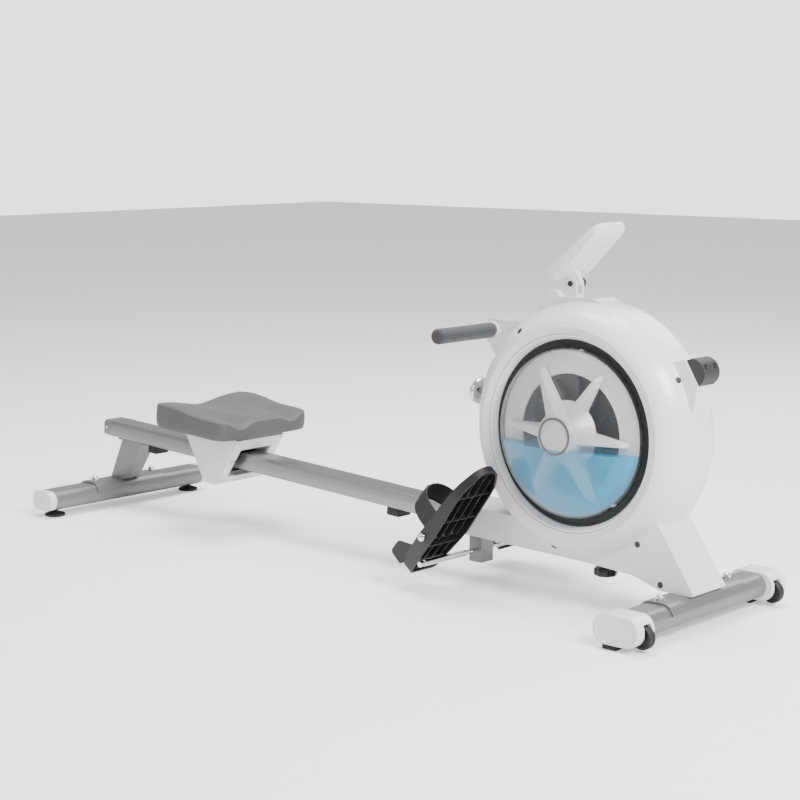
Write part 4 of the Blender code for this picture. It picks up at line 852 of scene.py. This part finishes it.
# ---- tank
CUP_OPENING = 0.123
CUP_RIBS = 12
DOME_WALL = 0.003
WATER_INSET = 0.0046
BLADES = 6
BLADE_REACH = 0.150
BLADE_PHASE = -0.05


def heights(side):
    """Radius, rim, shoulder and apex of one dome, measured out from the middle."""
    rim, apex = reaches("tank_dome_" + side)
    return span("tank_dome_" + side).x / 2, rim, reaches("tank_cup_" + side)[1] + 0.001, apex


def curve(radius, shoulder, apex, steps=28):
    """A dome's outline from its middle to its shoulder."""
    return [(radius * math.sin(math.pi / 2 * k / steps),
             shoulder + (apex - shoulder) * math.cos(math.pi / 2 * k / steps)) for k in range(steps + 1)]


def dome(side, place, look):
    """The clear dome over one side of the tank."""
    radius, rim, shoulder, apex = heights(side)
    skin = curve(radius, shoulder, apex) + [(radius, rim)]
    inner = radius - DOME_WALL
    inside = curve(inner, shoulder, apex - DOME_WALL) + [(inner, rim)]
    stand_in("tank_dome_" + side, turned(skin + inside[::-1], place, 128), "clear_dome_" + side,
             look["glass"], 50.0)


def cup(side, place, look):
    """The white face with its round opening, and the grey well behind it, made near black with painted shade.
    """
    node = "tank_cup_" + side
    outer = span(node).x / 2
    back, face = reaches(node)
    hole = CUP_OPENING
    profile = [(hole, face - 0.0016), (hole + 0.0016, face), (outer - 0.0014, face), (outer, face - 0.0014),
               (outer, face - 0.003), (hole, face - 0.003)]
    stand_in(node, turned(profile, place, 128, closed=True), "tank_face_" + side, look["tank_face"])
    well = turned([(hole + 0.0005, face - 0.0031), (hole + 0.0022, face - 0.0031), (hole + 0.0022, back),
                   (0.0112, back), (0.0112, back + 0.0022), (hole + 0.0005, back + 0.0022)], place, 96,
                   closed=True)
    for k in range(CUP_RIBS):
        turn = Matrix.Rotation(math.tau * k / CUP_RIBS, 4, "Z")
        block(well, (0.060, 0.0022, 0.016), place @ turn @ at(0.0895, 0.0, back + 0.0098))
    # the well and its ribs take the near-black painted shade of the cup's inside
    put(well, "tank_well_" + side, look["cavity"], "frame")


def water(side, place, look, sizes):
    """The water in one half of the tank, cut level."""
    radius, _, shoulder, apex = heights(side)
    back, face = reaches("tank_cup_" + side)
    inner = radius - WATER_INSET
    well = CUP_OPENING - 0.0008
    outline = curve(inner, shoulder, apex - WATER_INSET)
    outline += [(inner, face + 0.0006), (well, face + 0.0006), (well, back + 0.0030), (0.0, back + 0.0030)]
    bm = turned(outline, place, 128)
    result = bmesh.ops.bisect_plane(bm, geom=bm.verts[:] + bm.edges[:] + bm.faces[:], dist=0.000001,
                                    plane_co=(0.0, 0.0, AXLE.z - sizes.water_drop), plane_no=(0.0, 0.0, 1.0),
                                    clear_outer=True)
    rim_edges = [item for item in result["geom_cut"] if isinstance(item, bmesh.types.BMEdge)]
    bmesh.ops.holes_fill(bm, edges=rim_edges, sides=0)
    bmesh.ops.recalc_face_normals(bm, faces=bm.faces)
    put(bm, "water_" + side, look["water"], "frame", sharp=40.0)


def paddles(side, place, look):
    """Six wedge-shaped paddles on a conical hub, and the plain ring on its nose."""
    radius, _, shoulder, apex = heights(side)
    node = "impeller_" + side
    tip = reaches(node)[1]
    back = shoulder + 0.001
    bm = turned([(0.0, tip - 0.0004), (0.0405, tip - 0.0004), (0.0420, tip - 0.0008), (0.0432, tip - 0.0026),
                 (0.0468, tip - 0.0090), (0.0560, back + 0.0170), (0.0680, back + 0.0015), (0.0688, back),
                 (0.0, back)], place, 96)
    edge = shoulder + (apex - shoulder) * math.sqrt(1.0 - (BLADE_REACH / radius) ** 2) - 0.009
    for k in range(BLADES):
        paddle = bmesh.new()
        bmesh.ops.create_cube(paddle, size=1.0)
        for vert in paddle.verts:
            out = vert.co.x > 0
            front = vert.co.z > 0
            vert.co.x = BLADE_REACH if out else 0.034
            if front and out:
                vert.co.x -= 0.010
            vert.co.z = (edge if out else tip - 0.011) if front else back
            wide = 0.0052 if out else 0.0165
            vert.co.y = math.copysign(wide * (0.72 if front else 1.0), vert.co.y)
        bmesh.ops.bevel(paddle, geom=paddle.edges[:], offset=0.0016, segments=3, profile=0.5, affect="EDGES",
                        material=-1)
        turn = Matrix.Rotation(math.tau * (k + BLADE_PHASE) / BLADES, 4, "Z")
        bmesh.ops.transform(paddle, matrix=place @ turn, verts=paddle.verts)
        absorb(bm, paddle)
    stand_in(node, bm, "paddle_wheel_" + side, look["paddle"], 30.0)
    ring = [(0.0338, tip - 0.0006), (0.0338, tip + 0.0003), (0.0342, tip + 0.0006), (0.0390, tip + 0.0006),
            (0.0394, tip + 0.0003), (0.0394, tip - 0.0006)]
    put(turned(ring, place, 96, closed=True), "hub_ring_" + side, look["badge"], body_of(node))


class ROWER_OT_tank(PieceGroup, bpy.types.Operator):
    """Models the clear domes, the water, the cups and the paddle wheels."""

    bl_idname = "rower.tank"
    bl_label = "Water tank"

    def make(self, look, sizes):
        for side, sign in SIDES:
            place = outward(sign)
            dome(side, place, look)
            cup(side, place, look)
            water(side, place, look, sizes)
            paddles(side, place, look)
        refine("impeller_shaft", look["steel"])
        for node in ("recoil_spring_case", "strap_spool"):
            refine(node, look["black"])
        refine("strap_roller", look["bumper"])


# ---- seat
PAD_CUTS = 27
SQUARENESS = 8.0


def pad(look, sizes):
    """A foam pad: raised at its rear corners, dipped for the thighs, with a low pommel between them."""
    size = span("seat_pad")
    thick = (size.z - size.x * abs(math.sin(RAIL_TILT))) / math.cos(RAIL_TILT)
    half_x = size.x / 2 - 0.002
    half_y = size.y / 2 - 0.001
    bm = bmesh.new()
    bmesh.ops.create_cube(bm, size=2.0)
    bmesh.ops.subdivide_edges(bm, edges=bm.edges[:], cuts=PAD_CUTS, use_grid_fill=True)
    for vert in bm.verts:
        u, v, w = vert.co
        reach = (abs(u) ** SQUARENESS + abs(v) ** SQUARENESS) ** (1.0 / SQUARENESS)
        limit = max(abs(u), abs(v))
        pull = limit / reach if reach > 0.0 else 1.0
        x = u * pull
        y = v * pull
        waist = 1.0 - 0.022 * math.exp(-((x - 0.1) / 0.5) ** 2)
        wall = 1.0 - 0.012 * max(0.0, w) ** 2 - 0.030 * max(0.0, -w) ** 3
        height = thick / 2 * w
        if w > 0.0:
            rear = 1.0 / (1.0 + math.exp(7.0 * (x + 0.10)))
            front = 1.0 - rear
            ahead = min(1.0, max(0.0, (x + 0.25) / 1.25))
            groove = sizes.thigh_dip * (0.35 + 0.65 * ahead) * front
            lift = sizes.tail_rise * rear * (abs(y) ** 1.6)
            lift -= 0.009 * rear * math.exp(-(y / 0.36) ** 2)
            lift -= groove * math.exp(-(abs(abs(y) - 0.56) / 0.22) ** 2)
            lift -= 0.007 * front * math.exp(-(y / 0.25) ** 2)
            lift -= 0.0050 * min(limit, 1.0) ** 22
            height += lift * w
        vert.co = Vector((x * half_x * wall, y * half_y * wall * waist, height))
    for vert in bm.verts:
        if vert.co.z < -thick / 2 + 0.0001:
            vert.co.z = -thick / 2
    bmesh.ops.smooth_vert(bm, verts=[v for v in bm.verts if v.co.z > -thick / 2 + 0.004], factor=0.5,
                          use_axis_x=True, use_axis_y=True, use_axis_z=True)
    bmesh.ops.transform(bm, matrix=at(*middle("seat_pad")) @ Matrix.Rotation(RAIL_TILT, 4, "Y"),
                        verts=bm.verts)
    cushion = stand_in("seat_pad", bm, "seat_cushion", look["seat"], 70.0)
    smooth = cushion.modifiers.new("smooth", "SUBSURF")
    smooth.levels = 1
    smooth.render_levels = 1


class ROWER_OT_seat(PieceGroup, bpy.types.Operator):
    """Models the saddle-shaped seat pad and finishes its carriage and rollers."""

    bl_idname = "rower.seat"
    bl_label = "Seat"

    def make(self, look, sizes):
        refine("seat_carriage", look["shell"], 0.0018, 34.0)
        for name in ("front", "rear", "lower"):
            refine("seat_roller_" + name, look["black"], 0.0006)
        pad(look, sizes)


# ---- footrests
RIB_ROOF = 0.0052


def sole(side, sizes):
    """The footrest's own frame: x to the toe, y across, z square to the sole."""
    return at(*joint_point("footrest_%s_tilt" % side)) @ Matrix.Rotation(-sizes.foot_pitch, 4, "Y")


def half_width(x):
    """Half the space between the footrest's side walls, at a distance towards the toe."""
    if x < 0.0:
        return 0.0375 + 0.0150 * (x + 0.10) / 0.10
    if x < 0.145:
        return 0.0525
    return max(0.012, 0.0525 - 0.036 * (x - 0.145) / 0.055)


def underside(x):
    """How far below the pivot the footrest's lower edge lies, a little inside its rim."""
    return -0.0205 + max(0.0, x - 0.020) * 0.1033


def rib(bm, place, path, width):
    """A rib of one width that hangs from the sole down to the underside."""
    rings = []
    for x, y in path:
        low = underside(x)
        corners = ((y - width / 2, low), (y + width / 2, low), (y + width / 2, RIB_ROOF),
                   (y - width / 2, RIB_ROOF))
        rings.append([bm.verts.new(place @ Vector((x, side, height))) for side, height in corners])
    skinned(bm, rings)


def ribs(side, look, sizes):
    """Stiffening ribs in the hollow underside, and low treads on the sole."""
    place = sole(side, sizes)
    bm = bmesh.new()
    thin = sizes.rib_thickness
    for x in (-0.060, -0.012, 0.062, 0.130):
        rib(bm, place, [(x - thin / 2, 0.0), (x + thin / 2, 0.0)], 2 * half_width(x))
    for y in (-0.027, 0.0, 0.027):
        rib(bm, place, [(-0.094, y), (-0.0085, y)], thin)
        rib(bm, place, [(x, y) for x in (0.0085, 0.020, 0.075, 0.130, 0.176 if y else 0.196)], thin)
    outline = [(0.0072, -0.052), (0.0115, -0.052), (0.0115, 0.052), (0.0072, 0.052)]
    absorb(bm, turned(outline, place @ LYING_ACROSS, 32, closed=True))
    put(bm, "footrest_ribs_" + side, look["black"], "footrest_" + side)
    treads = bmesh.new()
    for x in (-0.070, -0.055, -0.040, -0.025, -0.010, 0.084, 0.099, 0.114, 0.129, 0.144, 0.159):
        block(treads, (0.0055, 1.62 * half_width(x), 0.0018), place @ at(x, 0.0, 0.0115), 0.0006, 1)
    put(treads, "footrest_treads_" + side, look["rubber"], "footrest_" + side)


def strap_trim(side, look, sizes):
    """The folded-over end of the foot strap with its pull tab."""
    place = sole(side, sizes)
    bm = bmesh.new()
    top = 0.0852
    block(bm, (0.040, 0.030, 0.0022), place @ at(0.040, 0.002, top), 0.0009, 2)
    block(bm, (0.044, 0.0050, 0.0030), place @ at(0.040, 0.017, top - 0.0004), 0.0010, 2)
    put(bm, "strap_tab_" + side, look["strap"], "footrest_" + side)


class ROWER_OT_footrests(PieceGroup, bpy.types.Operator):
    """Finishes the footrests and adds their ribs, treads, straps and rods."""

    bl_idname = "rower.footrests"
    bl_label = "Footrests"

    def make(self, look, sizes):
        refine("pedal_shaft", look["chrome"], 0.0004)
        refine("foot_stop_rod", look["chrome"], 0.0003)
        for side, _ in SIDES:
            refine("pedal_" + side, look["black"], 0.0012)
            refine("pedal_strap_" + side, look["rubber"], 0.0008)
            ribs(side, look, sizes)
            strap_trim(side, look, sizes)


# ---- handle and pull strap
def grip(side, sign, look):
    """A foam sleeve with a rounded end and a rolled collar."""
    node = "handle_grip_" + side
    inner, outer = reaches(node)
    radius = span(node).x / 2
    bore = 0.0113
    profile = [(0.0, outer), (radius - 0.0075, outer), (radius - 0.0038, outer - 0.0008),
               (radius - 0.0014, outer - 0.0030), (radius - 0.0002, outer - 0.0066), (radius, outer - 0.012)]
    for k in range(1, 10):
        share = k / 10
        profile.append((radius - 0.0004 * math.sin(math.pi * share) ** 2,
                        outer - 0.012 + (inner + 0.010 - outer + 0.012) * share))
    profile += [(radius, inner + 0.010), (radius - 0.0004, inner + 0.0040), (radius - 0.0022, inner + 0.0010),
                (radius - 0.0036, inner), (bore, inner), (bore, outer - 0.0037), (0.0, outer - 0.0037)]
    place = at(*HANDLE) @ Matrix.Rotation(math.radians(90 if sign < 0 else -90), 4, "X")
    stand_in(node, turned(profile, place, 64), "foam_grip_" + side, look["grip"], 60.0)


STRAP_THICK = 0.0016
STRAP_GAP = 0.0003
ROLLER_RADIUS = 0.012
SPOOL_RADIUS = 0.034
STRAP_WRAP = math.radians(120)


def pull_strap(look):
    """The run that is drawn out with the handle, and the part that stays round the roller and spool."""
    roller = joint_point("guide_roller_turn")
    spool = joint_point("spool_turn")
    half = span("drive_strap").y / 2
    near = ROLLER_RADIUS + STRAP_GAP + STRAP_THICK / 2
    far = SPOOL_RADIUS + STRAP_GAP + STRAP_THICK / 2
    level = roller.z + near
    run = bmesh.new()
    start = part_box("drive_strap")[0].x
    reach = roller.x - start
    block(run, (reach, 2 * half, STRAP_THICK), at(start + reach / 2, 0.0, level))
    cuts = [edge for edge in run.edges if abs(edge.verts[0].co.x - edge.verts[1].co.x) > reach * 0.9]
    bmesh.ops.subdivide_edges(run, edges=cuts, cuts=6)
    band = put(run, "pull_strap", look["strap"], None, ("drive_strap",))
    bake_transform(band)
    reel = bmesh.new()
    route = []
    line = Vector((spool.x - roller.x, spool.z - roller.z))
    leave = math.atan2(line.y, line.x) + math.acos((near - far) / line.length)
    for k in range(13):
        turn = math.pi / 2 + (leave - math.pi / 2) * k / 12
        route.append(Vector((roller.x + near * math.cos(turn), roller.z + near * math.sin(turn))))
    for k in range(25):
        turn = leave - STRAP_WRAP * k / 24
        route.append(Vector((spool.x + far * math.cos(turn), spool.z + far * math.sin(turn))))
    rings = []
    for k, point in enumerate(route):
        ahead = route[min(k + 1, len(route) - 1)] - route[max(k - 1, 0)]
        square = Vector((-ahead.y, ahead.x)).normalized() * STRAP_THICK / 2
        corners = ((square, half), (square, -half), (-square, -half), (-square, half))
        rings.append([reel.verts.new((point.x + s.x, y, point.y + s.y)) for s, y in corners])
    skinned(reel, rings)
    put(reel, "strap_on_spool", look["strap"], "frame")


class ROWER_OT_handle(PieceGroup, bpy.types.Operator):
    """Models the foam grips and the pull strap."""

    bl_idname = "rower.handle"
    bl_label = "Handle and strap"

    def make(self, look, sizes):
        refine("handle_bar", look["paint"])
        refine("handle_hub", look["shell"], 0.0010)
        for side, sign in SIDES:
            grip(side, sign, look)
        pull_strap(look)


# ---- console
BUTTON_STEP = 0.0175
BUTTON = [(0.0, 0.0012), (0.0044, 0.0011), (0.0054, 0.0006), (0.0056, -0.0004), (0.0, -0.0004)]


def display(look, sizes):
    """The dark window with a grey display let into it, and a row of round buttons."""
    node = "console_screen"
    place = at(*joint_point("console_tilt")) @ Matrix.Rotation(-sizes.console_pitch, 4, "Y")
    refine(node, look["screen"], 0.0003)
    local = place.inverted() @ middle(node)
    top = local.z + 0.0007
    glass = bmesh.new()
    block(glass, (0.082, 0.066, 0.0003), place @ at(local.x + 0.018, 0.0, top + 0.00018))
    put(glass, "console_display", look["display"], "console")
    buttons = bmesh.new()
    for k in range(4):
        y = (k - 1.5) * BUTTON_STEP
        absorb(buttons, turned(BUTTON, place @ at(local.x - 0.046, y, top), 32))
    put(buttons, "console_buttons", look["trim"], "console")


class ROWER_OT_console(PieceGroup, bpy.types.Operator):
    """Finishes the console and its post, and models its display and buttons."""

    bl_idname = "rower.console"
    bl_label = "Console"

    def make(self, look, sizes):
        refine("console_body", look["shell"], 0.0014, 30.0)
        refine("console_battery_door", look["shell"], 0.0004)
        refine("console_post", look["shell"], 0.0012)
        refine("console_knob", look["black"], 0.0010)
        display(look, sizes)


# ---- panel and registration
PIECE_OPERATORS = (ROWER_OT_stage, ROWER_OT_frame_metal, ROWER_OT_feet, ROWER_OT_housing, ROWER_OT_tank,
                   ROWER_OT_seat, ROWER_OT_footrests, ROWER_OT_handle, ROWER_OT_console)


class ROWER_PT_panel(bpy.types.Panel):
    """Lists the machine's pieces in the sidebar."""

    bl_idname = "ROWER_PT_panel"
    bl_label = "Rowing machine"
    bl_space_type = "VIEW_3D"
    bl_region_type = "UI"
    bl_category = "Rower"

    def draw(self, context):
        layout = self.layout
        for group in (context.scene.rower_sizes, context.scene.rower_colours):
            for name in group.bl_rna.properties.keys():
                if name not in ("rna_type", "name"):
                    layout.prop(group, name)
        for operator in PIECE_OPERATORS:
            layout.operator(operator.bl_idname)


CLASSES = (RowerSizes, RowerColours, *PIECE_OPERATORS, ROWER_PT_panel)


def register():
    """Registers the classes and their properties."""
    for cls in CLASSES:
        bpy.utils.register_class(cls)
    bpy.types.Scene.rower_sizes = bpy.props.PointerProperty(type=RowerSizes)
    bpy.types.Scene.rower_colours = bpy.props.PointerProperty(type=RowerColours)


def unregister():
    """Takes the classes and their properties away again."""
    del bpy.types.Scene.rower_colours
    del bpy.types.Scene.rower_sizes
    for cls in reversed(CLASSES):
        bpy.utils.unregister_class(cls)


def main():
    """Builds the machine piece by piece."""
    register()
    bpy.ops.rower.stage()
    bpy.ops.rower.frame_metal()
    bpy.ops.rower.feet()
    bpy.ops.rower.housing()
    bpy.ops.rower.tank()
    bpy.ops.rower.seat()
    bpy.ops.rower.footrests()
    bpy.ops.rower.handle()
    bpy.ops.rower.console()
    bpy.context.view_layer.update()


if __name__ == "__main__":
    main()
